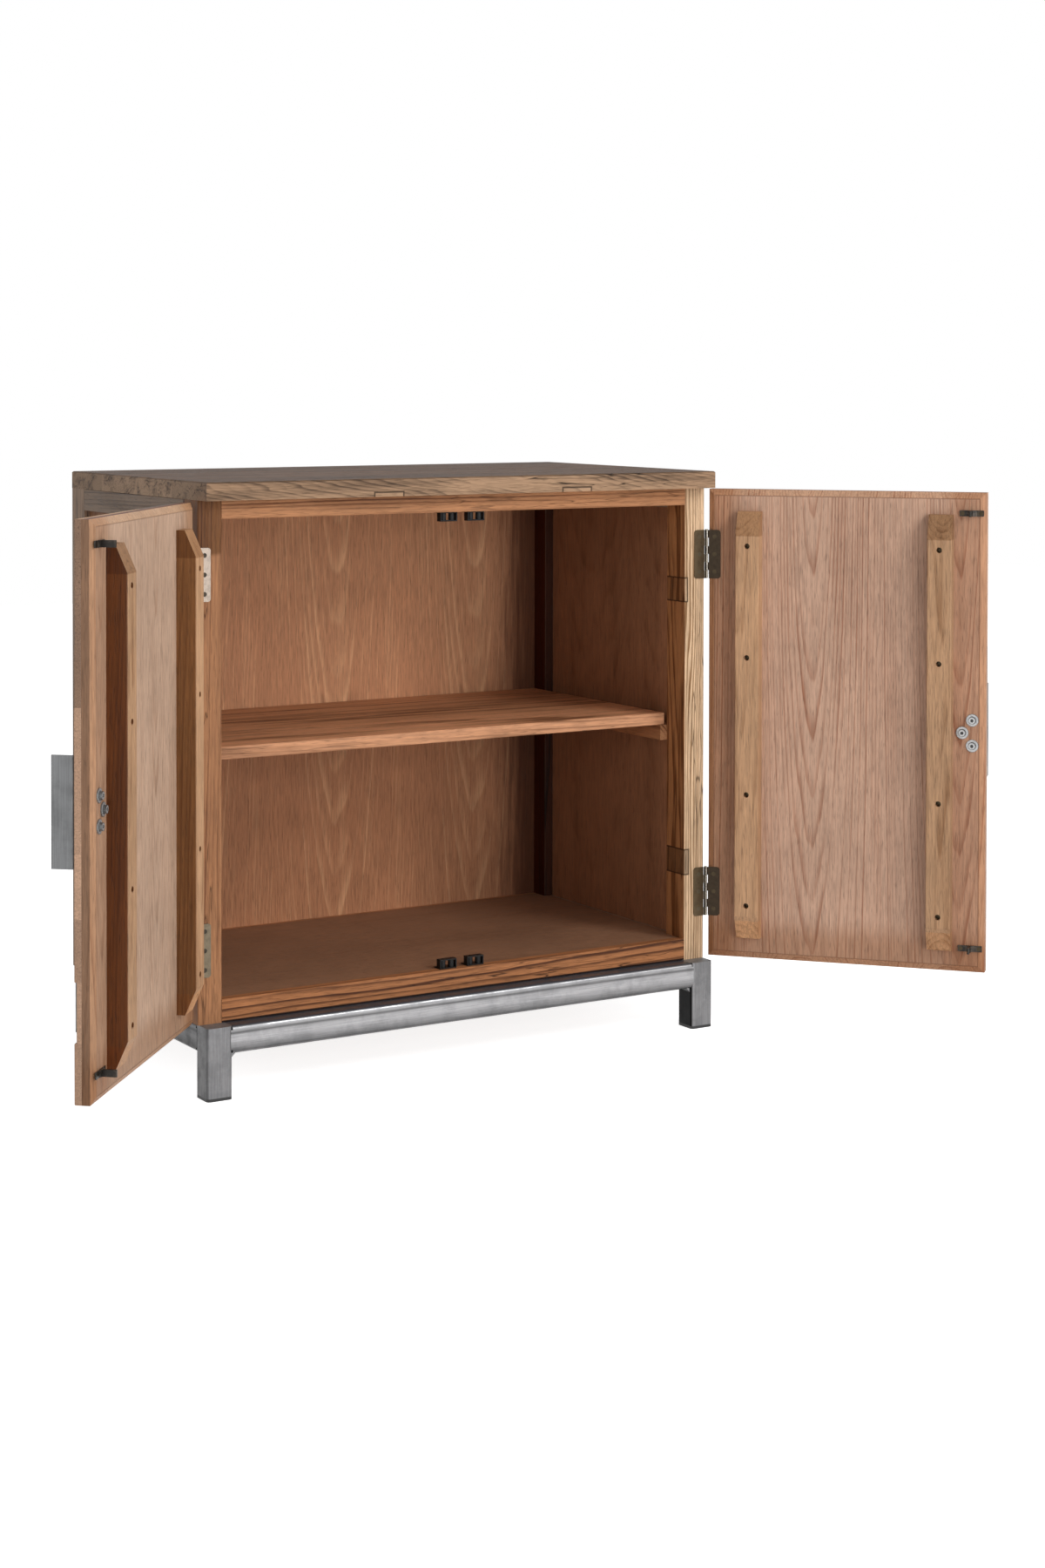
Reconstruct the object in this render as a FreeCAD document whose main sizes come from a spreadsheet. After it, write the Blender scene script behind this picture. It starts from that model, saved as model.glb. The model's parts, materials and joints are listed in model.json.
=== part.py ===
import FreeCAD, Part
import os
import re

import Sketcher
from FreeCAD import Placement, Rotation, Vector

# A free-standing cabinet of reclaimed wood on a welded steel tube base. Two full-overlay
# doors hang on butt hinges in front of a post-and-rail carcass, below the overhanging top.
# Frame: +X to the right seen from the front, +Y to the back, +Z up, floor at zero. The origin
# is on the floor, in the middle of the area that the cabinet covers with its doors open.
# All sizes are millimetres and degrees.

SIZES = (
    ("width", "800", "width of the top"),
    ("depth", "450", "depth of the top"),
    ("height", "800", "floor to the upper face of the top"),
    ("top_thick", "24", "thickness of the top board"),
    ("ease", "0.8", "small bevel along the long edges of the wood"),
    ("top_ease", "1.6", "bevel round the upper edge of the top"),
    ("plank_groove", "1.4", "width of the joint lines between the planks of the top"),
    ("fit_gap", "0.15", "clearance round a board that sits in a groove"),
    ("base_tall", "95", "floor to the underside of the wood"),
    ("base_inset", "1.5", "how far the steel base stands inside the top's outline"),
    ("tube_wide", "36", "square tube of the base, outside"),
    ("tube_wall", "2", "wall of the tube"),
    ("tube_round", "5", "outside corner radius of the tube"),
    ("weld", "6", "leg of the fillet welds below the ends of the rails"),
    ("foot_tall", "4", "plastic foot below the tube"),
    ("foot_plug", "12", "plug of the foot inside the tube"),
    ("post_wide", "34", "corner post along X"),
    ("post_deep", "45", "corner post along Y"),
    ("rail_deep", "25", "front rails along Y"),
    ("top_rail_tall", "25", "front rail below the top"),
    ("low_rail_tall", "30", "rails at floor level"),
    ("side_rail_tall", "30", "rails above the side and back panels"),
    ("back_rail_deep", "30", "back rails along Y"),
    ("panel_recess", "8", "side panel behind the outer face of its frame"),
    ("panel_thick", "12", "side panel"),
    ("back_recess", "5", "back panel inside the back face of its frame"),
    ("back_thick", "8", "back panel"),
    ("tongue", "6", "how far a panel enters its groove"),
    ("floor_thick", "18", "floor board"),
    ("floor_lap", "10", "ledge of the rails below the floor board"),
    ("shelf_rise", "305", "floor board to the underside of the shelf"),
    ("shelf_thick", "17", "shelf board"),
    ("shelf_back", "3", "front posts to the front edge of the shelf"),
    ("shelf_gap", "2.5", "shelf to the posts and to the back panel"),
    ("cleat_wide", "25", "shelf cleat along X"),
    ("cleat_tall", "22", "shelf cleat along Z"),
    ("door_open", "131.5", "angle that both doors stand open at rest"),
    ("meeting_gap", "3", "gap between the closed doors"),
    ("door_end_gap", "2.5", "gap above and below a door"),
    ("board_thick", "15", "inner board of a door"),
    ("bevel_face", "8", "bevel round the inner board, along its face"),
    ("bevel_deep", "5", "bevel round the inner board, across its edge"),
    ("block_thick", "9", "outer layer of reclaimed blocks"),
    ("block_ease", "1", "bevel round the outer face of a block"),
    ("batten_wide", "34", "batten on the inner face of a door"),
    ("batten_thick", "26", "how far a batten stands off the door"),
    ("batten_nose", "11", "flat end face of a batten"),
    ("batten_slope", "34", "length of the slope at a batten's end"),
    ("batten_inset", "62", "side edge of the door to the middle of a batten"),
    ("batten_end", "31", "end of the door to the end of a batten"),
    ("bore_radius", "4", "counterbore for a batten screw"),
    ("bore_deep", "12", "depth of that counterbore"),
    ("hinge_tall", "70", "length of a butt hinge"),
    ("hinge_inset", "59", "end of the door to the nearest end of a hinge"),
    ("leaf_wide", "20.5", "pin axis to the far edge of a hinge leaf"),
    ("leaf_thick", "1.5", "hinge leaf"),
    ("leaf_gap", "0.2", "gap between the closed leaves"),
    ("leaf_round", "4", "corner radius of a hinge leaf"),
    ("knuckle_radius", "2.5", "outside of the hinge knuckles"),
    ("knuckle_gap", "0.3", "running gap beside and between knuckles"),
    ("notch_gap", "0.9", "gap between a leaf's plate and the other leaf's knuckles"),
    ("pin_radius", "1.25", "hinge pin"),
    ("pin_head", "1", "head of the hinge pin, above the knuckles"),
    ("run_gap", "0.05", "radial running clearance of pins and rollers"),
    ("screw_radius", "1.6", "shank of the small screws"),
    ("screw_head", "3.1", "head radius of the countersunk screws"),
    ("screw_long", "13", "length of the countersunk screws"),
    ("screw_tip", "3", "pointed end of every wood screw"),
    ("pan_radius", "3.4", "head radius of the long screws"),
    ("pan_tall", "2", "head height of the long screws"),
    ("pan_long", "22", "length of the long screws below the head"),
    ("pull_tall", "132", "height of the angle that serves as door pull"),
    ("pull_proud", "28", "how far the pull stands off the door"),
    ("pull_wide", "44", "flange of the pull on the door"),
    ("pull_plate", "3", "plate of the pull"),
    ("pull_round", "5", "outside radius of the pull's bend"),
    ("pull_inset", "2", "free edge of the door to the pull"),
    ("bolt_radius", "3", "bolts that hold the pull"),
    ("bolt_head", "5", "head radius of these bolts"),
    ("bolt_head_tall", "4", "head height of these bolts"),
    ("socket_radius", "2.6", "hexagon socket in the bolt head, to its corners"),
    ("socket_deep", "2.2", "depth of that socket"),
    ("washer_radius", "8.8", "washers below the bolt heads"),
    ("washer_thick", "1.5", "thickness of these washers"),
    ("bolt_edge", "18", "free edge of the door to the outer bolts"),
    ("bolt_across", "14", "outer bolts to the middle bolt, along the door"),
    ("bolt_rise", "18", "outer bolts to the middle bolt, up and down"),
    ("strike_inset", "20", "free edge of the door to the middle of a strike"),
    ("strike_wide", "34", "strike plate along the door"),
    ("strike_tall", "8.5", "strike plate along Z"),
    ("blade_thick", "3.2", "blade of the strike"),
    ("blade_long", "21", "door face to the tip of the blade"),
    ("arch_half", "7", "half width of the raised middle of a strike"),
    ("arch_rise", "2", "height of that raised middle"),
    ("strike_screw", "13", "middle of a strike to its screws"),
    ("case_wide", "26", "case of a roller catch along X"),
    ("case_tall", "13", "case of a roller catch along Z"),
    ("case_deep", "10", "closed part of the case along Y"),
    ("case_foot", "18", "mounting plate of the case along Y"),
    ("case_wall", "1.5", "sheet of the case"),
    ("case_back", "7", "front of the rail to the front of the case"),
    ("case_screw_x", "7.5", "middle of the case to its screws"),
    ("case_screw_y", "14", "front of the case to its screws"),
    ("roller_radius", "4.2", "barrel of a catch roller"),
    ("roller_gap", "0.8", "blade of the strike to a roller"),
    ("journal_radius", "1.5", "journals of a catch roller"),
    ("roller_back", "5", "front of the case to the roller's axis"),
    ("access_radius", "6", "hole in the tube for the screwdriver"),
)

# Places and sizes that follow from the driving ones.
DERIVED = {
    "side_x": "width / 2",
    "inner_x": "side_x - post_wide",
    "top_z": "height - top_thick",
    "frame_tall": "top_z - base_tall",
    "door_thick": "board_thick + block_thick",
    "hinge_gap": "2 * leaf_thick + leaf_gap",
    "setback": "door_thick + hinge_gap",
    "post_back": "setback + post_deep",
    "back_post": "depth - post_deep",
    "side_long": "back_post - post_back",
    "groove_x": "side_x - panel_recess + fit_gap",
    "groove_inner_x": "side_x - panel_recess - panel_thick - fit_gap",
    "panel_x": "side_x - panel_recess - panel_thick",
    "back_inner": "depth - back_recess - back_thick",
    "back_rail_y": "depth - back_rail_deep",
    "floor_z": "base_tall + low_rail_tall",
    "floor_front": "setback + rail_deep - floor_lap",
    "floor_back": "back_rail_y + floor_lap",
    "floor_x": "inner_x + floor_lap",
    "shelf_z": "floor_z + shelf_rise",
    "shelf_front": "post_back + shelf_back",
    "door_wide": "side_x - meeting_gap / 2",
    "door_z": "base_tall + door_end_gap",
    "door_tall": "frame_tall - 2 * door_end_gap",
    "pin_out": "knuckle_radius + knuckle_gap",
    "pin_x": "side_x + pin_out",
    "pin_depth": "door_thick + hinge_gap / 2",
    "door_end_x": "pin_out + door_wide",
    "door_reach": "door_end_x * sin(door_open * 1 deg) + hinge_gap / 2 * cos(door_open * 1 deg) - pin_depth",
    "front_y": "(door_reach - depth) / 2",
    "face_y": "0 - hinge_gap / 2",
    "outer_y": "face_y - door_thick",
    "pitch": "hinge_tall / 6",
    "plate_x": "knuckle_radius + notch_gap",
    "leaf_screw_x": "(plate_x + leaf_wide) / 2",
    "hinge_top_z": "door_tall - hinge_inset - hinge_tall",
    "catch_low_z": "floor_z + case_tall / 2 - door_z",
    "catch_top_z": "top_z - top_rail_tall - case_tall / 2 - door_z",
    "strike_x": "door_end_x - strike_inset",
    "case_x": "meeting_gap / 2 + strike_inset",
    "case_y": "setback + case_back",
    "roller_x": "blade_thick / 2 + roller_gap + roller_radius",
    "base_x": "side_x - base_inset",
    "base_long": "2 * (base_x - tube_wide)",
    "base_deep": "depth - 2 * base_inset - 2 * tube_wide",
    "weld_seam": "tube_round * (2 - sqrt(2))",
    "pull_z": "door_tall / 2",
    "bolt_x": "door_end_x - bolt_edge",
}

# Where the planks of the top meet, as shares of its depth from the front.
PLANK_SHARES = (0.24, 0.49, 0.76)
# The four screws of a batten, as shares of its length from its lower end.
BATTEN_SCREW_SHARES = (0.08, 0.34, 0.66, 0.92)
# The three screws of a hinge leaf, as shares of its length.
LEAF_SCREW_SHARES = (0.14, 0.5, 0.86)
# The two base screws of each side, as shares of the tube's length between the legs.
BASE_SCREW_SHARES = (0.2, 0.8)
# The outer blocks of a door, row by row from its top: the row's share of the height, where
# its joints lie as shares of the width from the hinge edge, and how far each block lies
# below the door's outer plane, as shares of the block's thickness.
LEFT_BLOCK_SHARES = (
    (0.213, (0.44,), (0.0, 0.1)),
    (0.108, (0.27, 0.68), (0.12, 0.0, 0.06)),
    (0.250, (0.52,), (0.06, 0.0)),
    (0.111, (0.20, 0.61), (0.0, 0.1, 0.0)),
    (0.108, (0.36,), (0.08, 0.0)),
    (0.104, (0.16, 0.72), (0.1, 0.06, 0.3)),
    (0.106, (0.49,), (0.1, 0.0)),
)
RIGHT_BLOCK_SHARES = (
    (0.108, (0.33, 0.70), (0.0, 0.1, 0.04)),
    (0.213, (0.58,), (0.08, 0.0)),
    (0.250, (0.41,), (0.0, 0.0)),
    (0.106, (0.24, 0.66), (0.1, 0.0, 0.0)),
    (0.111, (0.47,), (0.0, 0.12)),
    (0.104, (0.30, 0.78), (0.06, 0.0, 0.08)),
    (0.108, (0.55,), (0.0, 0.06)),
)

doc = FreeCAD.newDocument("cabinet")
sheet = doc.addObject("Spreadsheet::Sheet", "Sizes")
for row, (alias, number, note) in enumerate(SIZES, 1):
    sheet.set(f"A{row}", alias)
    sheet.set(f"B{row}", number)
    sheet.setAlias(f"B{row}", alias)
    sheet.set(f"C{row}", note)
doc.recompute()

ALIASES = {alias for alias, number, note in SIZES}
WORD = re.compile(r"[a-z][a-z_]*")
HINGE_SEGMENTS = 6
nodes = []


def formula(text):
    """A FreeCAD expression over the sheet, from the names of sizes and derived values."""
    found = True
    while found:
        found = any(word in DERIVED for word in WORD.findall(text))
        text = WORD.sub(lambda m: f"({DERIVED[m[0]]})" if m[0] in DERIVED else m[0], text)
    return WORD.sub(lambda m: f"Sizes.{m[0]}" if m[0] in ALIASES else m[0], text)


def value(text):
    """The number that a formula gives with the sheet's present values."""
    return float(sheet.evalExpression(formula(text)))


def hand(side, text):
    """A formula mirrored to the other side of the cabinet where side is -1."""
    return text if side == 1 else f"0 - ({text})"


def place(thing, x="0", y="0", z="0"):
    """Bind where an object's own origin goes."""
    for axis, text in zip("xyz", (x, y, z)):
        thing.setExpression(f"Placement.Base.{axis}", formula(text))


def new_body(label, node=True):
    """An empty body. A node is one of the cabinet's pieces; others only serve as patterns."""
    body = doc.addObject("PartDesign::Body", label)
    body.Label = label
    if node:
        nodes.append(body)
    return body


def sketch_in(body, role, lift="0"):
    """A sketch on one of the body's own origin planes, lifted along the plane's normal."""
    sketch = body.newObject("Sketcher::SketchObject", f"{body.Name}_sketch")
    plane = next(p for p in body.Origin.OriginFeatures if p.Role == role)
    sketch.AttachmentSupport = [(plane, "")]
    sketch.MapMode = "FlatFace"
    sketch.setExpression("AttachmentOffset.Base.z", formula(lift))
    return sketch


def bind(sketch, kind, ends, text):
    """Add a constraint whose size is a formula."""
    index = sketch.addConstraint(Sketcher.Constraint(kind, *ends, value(text)))
    sketch.setExpression(f"Constraints[{index}]", formula(text))


def outline(sketch, corners):
    """A closed outline of straight lines through corners given as pairs of formulas."""
    first = sketch.GeometryCount
    points = [Vector(value(a), value(b), 0) for a, b in corners]
    count = len(corners)
    for index in range(count):
        sketch.addGeometry(Part.LineSegment(points[index], points[(index + 1) % count]), False)
    for index in range(count):
        following = first + (index + 1) % count
        sketch.addConstraint(Sketcher.Constraint("Coincident", first + index, 2, following, 1))
    for index, (a, b) in enumerate(corners):
        bind(sketch, "DistanceX", (-1, 1, first + index, 1), a)
        bind(sketch, "DistanceY", (-1, 1, first + index, 1), b)
    return sketch


def rectangle(sketch, low_a, high_a, low_b, high_b):
    """A rectangle between two formulas along each sketch axis."""
    return outline(sketch, ((low_a, low_b), (high_a, low_b), (high_a, high_b), (low_a, high_b)))


def circle(sketch, a, b, radius):
    """A full circle at a place given by two formulas."""
    centre = Vector(value(a), value(b), 0)
    index = sketch.addGeometry(Part.Circle(centre, Vector(0, 0, 1), value(radius)), False)
    bind(sketch, "DistanceX", (-1, 1, index, 3), a)
    bind(sketch, "DistanceY", (-1, 1, index, 3), b)
    bind(sketch, "Radius", (index,), radius)
    return sketch


def pad(body, sketch, length, backwards=False):
    """Raise a sketch along its normal, or against it."""
    feature = body.newObject("PartDesign::Pad", f"{body.Name}_pad")
    feature.Profile = sketch
    feature.setExpression("Length", formula(length))
    feature.Reversed = backwards
    sketch.Visibility = False
    doc.recompute()
    return feature


def cut(body, sketch, length, backwards=False):
    """Cut a sketch against its normal, or along it, and make sure that it took wood away."""
    before = body.Shape.Volume
    feature = body.newObject("PartDesign::Pocket", f"{body.Name}_cut")
    feature.Profile = sketch
    feature.setExpression("Length", formula(length))
    feature.Reversed = backwards
    doc.recompute()
    if body.Shape.Volume >= before:
        raise RuntimeError(f"a cut in {body.Label} removes nothing")
    return feature


def revolve(body, corners):
    """Turn an outline of radius and height pairs once round the body's Z axis."""
    sketch = outline(sketch_in(body, "XZ_Plane"), corners)
    feature = body.newObject("PartDesign::Revolution", f"{body.Name}_turn")
    feature.Profile = sketch
    feature.ReferenceAxis = (sketch, ["V_Axis"])
    doc.recompute()
    return feature


def long_edges(shape, axis):
    """Names of the straight edges along one axis that lie on two sides of the shape's box."""
    box = shape.BoundBox
    low, high = (box.XMin, box.YMin, box.ZMin), (box.XMax, box.YMax, box.ZMax)
    near = value("fit_gap") / 10
    names = []
    for index, edge in enumerate(shape.Edges, 1):
        ends = [tuple(vertex.Point) for vertex in edge.Vertexes]
        if len(ends) != 2:
            continue
        across = [k for k in range(3) if abs(ends[0][k] - ends[1][k]) < near]
        on_box = [k for k in across if min(abs(ends[0][k] - low[k]), abs(ends[0][k] - high[k])) < near]
        if axis not in across and len(on_box) == 2:
            names.append(f"Edge{index}")
    return names


def dress(body, kind, names, size):
    """A chamfer or a fillet on named edges of the body's last feature."""
    base = body.Tip
    feature = body.newObject(f"PartDesign::{kind}", f"{body.Name}_{kind}")
    feature.Base = (base, names)
    feature.setExpression("Radius" if kind == "Fillet" else "Size", formula(size))
    doc.recompute()
    return feature


def cone_cut(body, x, y, z, direction):
    """A countersink through a sheet: wide at the given point, narrow along the direction."""
    feature = body.newObject("PartDesign::SubtractiveCone", f"{body.Name}_countersink")
    feature.setExpression("Radius1", formula("screw_head"))
    feature.setExpression("Radius2", formula("screw_radius + run_gap"))
    feature.setExpression("Height", formula("leaf_thick"))
    feature.AttachmentOffset = Placement(Vector(), Rotation(Vector(0, 0, 1), direction))
    plane = next(p for p in body.Origin.OriginFeatures if p.Role == "XY_Plane")
    feature.AttachmentSupport = [(plane, "")]
    feature.MapMode = "FlatFace"
    feature.setExpression("AttachmentOffset.Base.x", formula(x))
    feature.setExpression("AttachmentOffset.Base.y", formula(y))
    feature.setExpression("AttachmentOffset.Base.z", formula(z))
    doc.recompute()
    return feature


def repeat_up(body, features, step, count):
    """Repeat features up the body's Z axis."""
    pattern = body.newObject("PartDesign::LinearPattern", f"{body.Name}_repeat")
    pattern.Originals = features
    axis = next(p for p in body.Origin.OriginFeatures if p.Role == "Z_Axis")
    pattern.Direction = (axis, [""])
    pattern.setExpression("Length", formula(f"({step}) * {count - 1}"))
    pattern.Occurrences = count
    body.Tip = pattern
    doc.recompute()
    return pattern


def copies(label, shapes):
    """A node of several equal or related pieces that stay separate solids."""
    group = doc.addObject("Part::Feature", label)
    group.Label = label
    group.Shape = Part.makeCompound(shapes)
    nodes.append(group)
    return group


def moved(shape, x, y, z, direction=Vector(0, 0, 1), spin="0"):
    """A copy of a shape with its own Z axis turned to a direction and its origin at a point."""
    turn = Rotation(Vector(0, 0, 1), direction).multiply(Rotation(Vector(0, 0, 1), value(spin)))
    copy = shape.copy()
    copy.Placement = Placement(Vector(value(x), value(y), value(z)), turn)
    return copy


# Carcass. These bodies are drawn in the cabinet's plan: X from its middle, Y from the front
# edge of the top, and Z from the bottom of each piece.
def in_plan(body, z):
    """Put a piece that is drawn in plan at its height."""
    place(body, y="front_y", z=z)
    return body


def member(label, role, corners, length, start, z, axis):
    """A straight member: a section, its length and where along its axis it starts."""
    body = new_body(label)
    backwards = role == "XZ_Plane"
    lift = f"0 - ({start})" if backwards else start
    pad(body, outline(sketch_in(body, role, lift), corners), length, backwards)
    dress(body, "Chamfer", long_edges(body.Tip.Shape, axis), "ease")
    return in_plan(body, z)


def front_post(label, side):
    """Corner post beside a door, with the groove of the side panel and the hinge screws' holes."""
    section = [("side_x", "setback"), ("inner_x", "setback"), ("inner_x", "post_back")]
    section += [("groove_inner_x", "post_back"), ("groove_inner_x", "post_back - tongue - fit_gap")]
    section += [("groove_x", "post_back - tongue - fit_gap"), ("groove_x", "post_back")]
    section += [("side_x", "post_back")]
    corners = [(hand(side, x), y) for x, y in section]
    body = member(label, "XY_Plane", corners, "frame_tall", "0", "base_tall", 2)
    holes = sketch_in(body, "XZ_Plane", "0 - setback")
    for hinge_z in ("hinge_inset", "hinge_top_z"):
        for share in LEAF_SCREW_SHARES:
            z = f"door_end_gap + {hinge_z} + hinge_tall * {share}"
            circle(holes, hand(side, "pin_x - leaf_screw_x"), z, "screw_radius + run_gap")
    cut(body, holes, "screw_long - leaf_thick + run_gap")
    return body


def back_post(label, side):
    """Corner post at the back, with grooves for the side panel and the back panel."""
    section = [("side_x", "depth"), ("side_x", "back_post"), ("groove_x", "back_post")]
    section += [("groove_x", "back_post + tongue + fit_gap")]
    section += [("groove_inner_x", "back_post + tongue + fit_gap"), ("groove_inner_x", "back_post")]
    section += [("inner_x", "back_post"), ("inner_x", "back_inner - fit_gap")]
    section += [("inner_x + tongue + fit_gap", "back_inner - fit_gap")]
    section += [("inner_x + tongue + fit_gap", "depth - back_recess + fit_gap")]
    section += [("inner_x", "depth - back_recess + fit_gap"), ("inner_x", "depth")]
    corners = [(hand(side, x), y) for x, y in section]
    return member(label, "XY_Plane", corners, "frame_tall", "0", "base_tall", 2)


def side_top_rail(label, side):
    """Rail above a side panel, grooved below."""
    section = [("side_x", "side_rail_tall"), ("side_x", "0"), ("groove_x", "0")]
    section += [("groove_x", "tongue + fit_gap"), ("groove_inner_x", "tongue + fit_gap")]
    section += [("groove_inner_x", "0"), ("inner_x", "0"), ("inner_x", "side_rail_tall")]
    corners = [(hand(side, x), z) for x, z in section]
    return member(label, "XZ_Plane", corners, "side_long", "post_back", "top_z - side_rail_tall", 1)


def side_low_rail(label, side):
    """Rail below a side panel: grooved for the panel, with a ledge for the floor board."""
    section = [("side_x", "low_rail_tall"), ("side_x", "0"), ("inner_x", "0")]
    section += [("inner_x", "low_rail_tall - floor_thick"), ("floor_x", "low_rail_tall - floor_thick")]
    section += [("floor_x", "low_rail_tall"), ("groove_inner_x", "low_rail_tall")]
    section += [("groove_inner_x", "low_rail_tall - tongue - fit_gap")]
    section += [("groove_x", "low_rail_tall - tongue - fit_gap"), ("groove_x", "low_rail_tall")]
    corners = [(hand(side, x), z) for x, z in section]
    body = member(label, "XZ_Plane", corners, "side_long", "post_back", "base_tall", 1)
    holes = sketch_in(body, "XY_Plane")
    for share in BASE_SCREW_SHARES:
        y = f"base_inset + tube_wide + base_deep * {share}"
        circle(holes, hand(side, "base_x - tube_wide / 2"), y, "screw_radius + run_gap")
    cut(body, holes, "pan_long - tube_wall + run_gap", True)
    return body


def cross_rail(label, section, z):
    """A rail from the left posts to the right ones."""
    return member(label, "YZ_Plane", section, "2 * inner_x", "0 - inner_x", z, 0)


def front_top_rail():
    section = [("setback", "0"), ("setback + rail_deep", "0")]
    section += [("setback + rail_deep", "top_rail_tall"), ("setback", "top_rail_tall")]
    body = cross_rail("front_top_rail", section, "top_z - top_rail_tall")
    catch_screw_holes(body, "0", True)


def front_low_rail():
    section = [("setback", "low_rail_tall"), ("setback", "0"), ("setback + rail_deep", "0")]
    section += [("setback + rail_deep", "low_rail_tall - floor_thick")]
    section += [("floor_front", "low_rail_tall - floor_thick"), ("floor_front", "low_rail_tall")]
    cross_rail("front_low_rail", section, "base_tall")


def back_rails():
    groove = ("back_inner - fit_gap", "depth - back_recess + fit_gap")
    top = [("back_rail_y", "side_rail_tall"), ("back_rail_y", "0"), (groove[0], "0")]
    top += [(groove[0], "tongue + fit_gap"), (groove[1], "tongue + fit_gap")]
    top += [(groove[1], "0"), ("depth", "0"), ("depth", "side_rail_tall")]
    cross_rail("back_top_rail", top, "top_z - side_rail_tall")
    ledge = "low_rail_tall - floor_thick"
    low = [("depth", "low_rail_tall"), ("depth", "0"), ("back_rail_y", "0"), ("back_rail_y", ledge)]
    low += [("floor_back", ledge), ("floor_back", "low_rail_tall"), (groove[0], "low_rail_tall")]
    low += [(groove[0], "low_rail_tall - tongue - fit_gap")]
    low += [(groove[1], "low_rail_tall - tongue - fit_gap"), (groove[1], "low_rail_tall")]
    cross_rail("back_low_rail", low, "base_tall")


def catch_screw_holes(body, level, upwards):
    """Holes of the four catch screws in the rail or board that carries the catches."""
    holes = sketch_in(body, "XY_Plane", level)
    for side in (-1, 1):
        for step in ("case_x - case_screw_x", "case_x + case_screw_x"):
            circle(holes, hand(side, step), "case_y + case_screw_y", "screw_radius + run_gap")
    cut(body, holes, "screw_long - leaf_thick + run_gap", upwards)


def plain_board(label, box, z, tall):
    """A rectangular board: its box in plan, its height and its thickness or length along Z."""
    body = new_body(label)
    pad(body, rectangle(sketch_in(body, "XY_Plane"), *box), tall)
    return in_plan(body, z)


def panels():
    low_z = "floor_z - tongue"
    panel_tall = "frame_tall - low_rail_tall - side_rail_tall + 2 * tongue"
    ends = ("post_back - tongue", "back_post + tongue")
    outer = "side_x - panel_recess"
    plain_board("left_side_panel", (f"0 - ({outer})", "0 - panel_x", *ends), low_z, panel_tall)
    plain_board("right_side_panel", ("panel_x", outer, *ends), low_z, panel_tall)
    width = ("0 - (inner_x + tongue)", "inner_x + tongue")
    plain_board("back_panel", (*width, "back_inner", "depth - back_recess"), low_z, panel_tall)


def floor_board():
    """Floor of the cabinet, notched round the posts and dropped into the rails' ledges."""
    body = new_body("floor_board")
    half = [("floor_x - fit_gap", "post_back + fit_gap"), ("floor_x - fit_gap", "back_post - fit_gap")]
    half += [("inner_x - fit_gap", "back_post - fit_gap"), ("inner_x - fit_gap", "floor_back - fit_gap")]
    start = [("inner_x - fit_gap", "floor_front + fit_gap"), ("inner_x - fit_gap", "post_back + fit_gap")]
    right = start + half
    left = [(hand(-1, x), y) for x, y in reversed(right)]
    pad(body, outline(sketch_in(body, "XY_Plane"), right + left), "floor_thick")
    in_plan(body, "floor_z - floor_thick")
    catch_screw_holes(body, "floor_thick", False)


def shelf():
    """Loose shelf between the posts, resting on the two cleats."""
    width = ("0 - (inner_x - shelf_gap)", "inner_x - shelf_gap")
    body = plain_board("shelf", (*width, "shelf_front", "back_inner - shelf_gap"), "shelf_z", "shelf_thick")
    dress(body, "Chamfer", long_edges(body.Tip.Shape, 0), "ease")


def shelf_cleats():
    """Bearers of the shelf, fixed to the side panels between the posts."""
    pieces = []
    for side in (-1, 1):
        low = "panel_x - cleat_wide" if side == 1 else "0 - panel_x"
        size = Vector(value("cleat_wide"), value("side_long"), value("cleat_tall"))
        corner = Vector(value(low), value("post_back"), 0)
        pieces.append(Part.makeBox(size.x, size.y, size.z, corner))
    in_plan(copies("shelf_cleats", pieces), "shelf_z - cleat_tall")


def top_board():
    """Top of four planks with an eased upper edge and fine joint lines."""
    body = plain_board("top_board", ("0 - side_x", "side_x", "0", "depth"), "top_z", "top_thick")
    names = []
    for index, edge in enumerate(body.Tip.Shape.Edges, 1):
        if min(vertex.Point.z for vertex in edge.Vertexes) > value("top_thick / 2"):
            names.append(f"Edge{index}")
    dress(body, "Chamfer", names, "top_ease")
    lines = sketch_in(body, "YZ_Plane", "0 - side_x")
    for share in PLANK_SHARES:
        middle = f"depth * {share}"
        lip = [(f"{middle} - plank_groove", "top_thick + plank_groove")]
        lip += [(f"{middle} + plank_groove", "top_thick + plank_groove")]
        outline(lines, lip + [(middle, "top_thick - plank_groove / 2")])
    cut(body, lines, "width", True)


# Steel base: four legs to the full height, rails butted and welded between them.
def round_tube_hole(body, sketch, length, axis):
    """Round the tube's outer corners, then open its bore and round the bore's corners."""
    dress(body, "Fillet", long_edges(body.Tip.Shape, axis), "tube_round")
    cut(body, sketch, length, True)


def leg(label, side, y):
    """A leg: square tube closed at its top, open below for the foot."""
    body = new_body(label)
    x = ("base_x - tube_wide", "base_x") if side == 1 else ("0 - base_x", "tube_wide - base_x")
    pad(body, rectangle(sketch_in(body, "XY_Plane"), *x, y, f"{y} + tube_wide"), "base_tall - foot_tall")
    inside = (f"{x[0]} + tube_wall", f"{x[1]} - tube_wall", f"{y} + tube_wall")
    bore = rectangle(sketch_in(body, "XY_Plane"), *inside, f"{y} + tube_wide - tube_wall")
    round_tube_hole(body, bore, "base_tall - foot_tall - tube_wall", 2)
    in_plan(body, "foot_tall")


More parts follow.
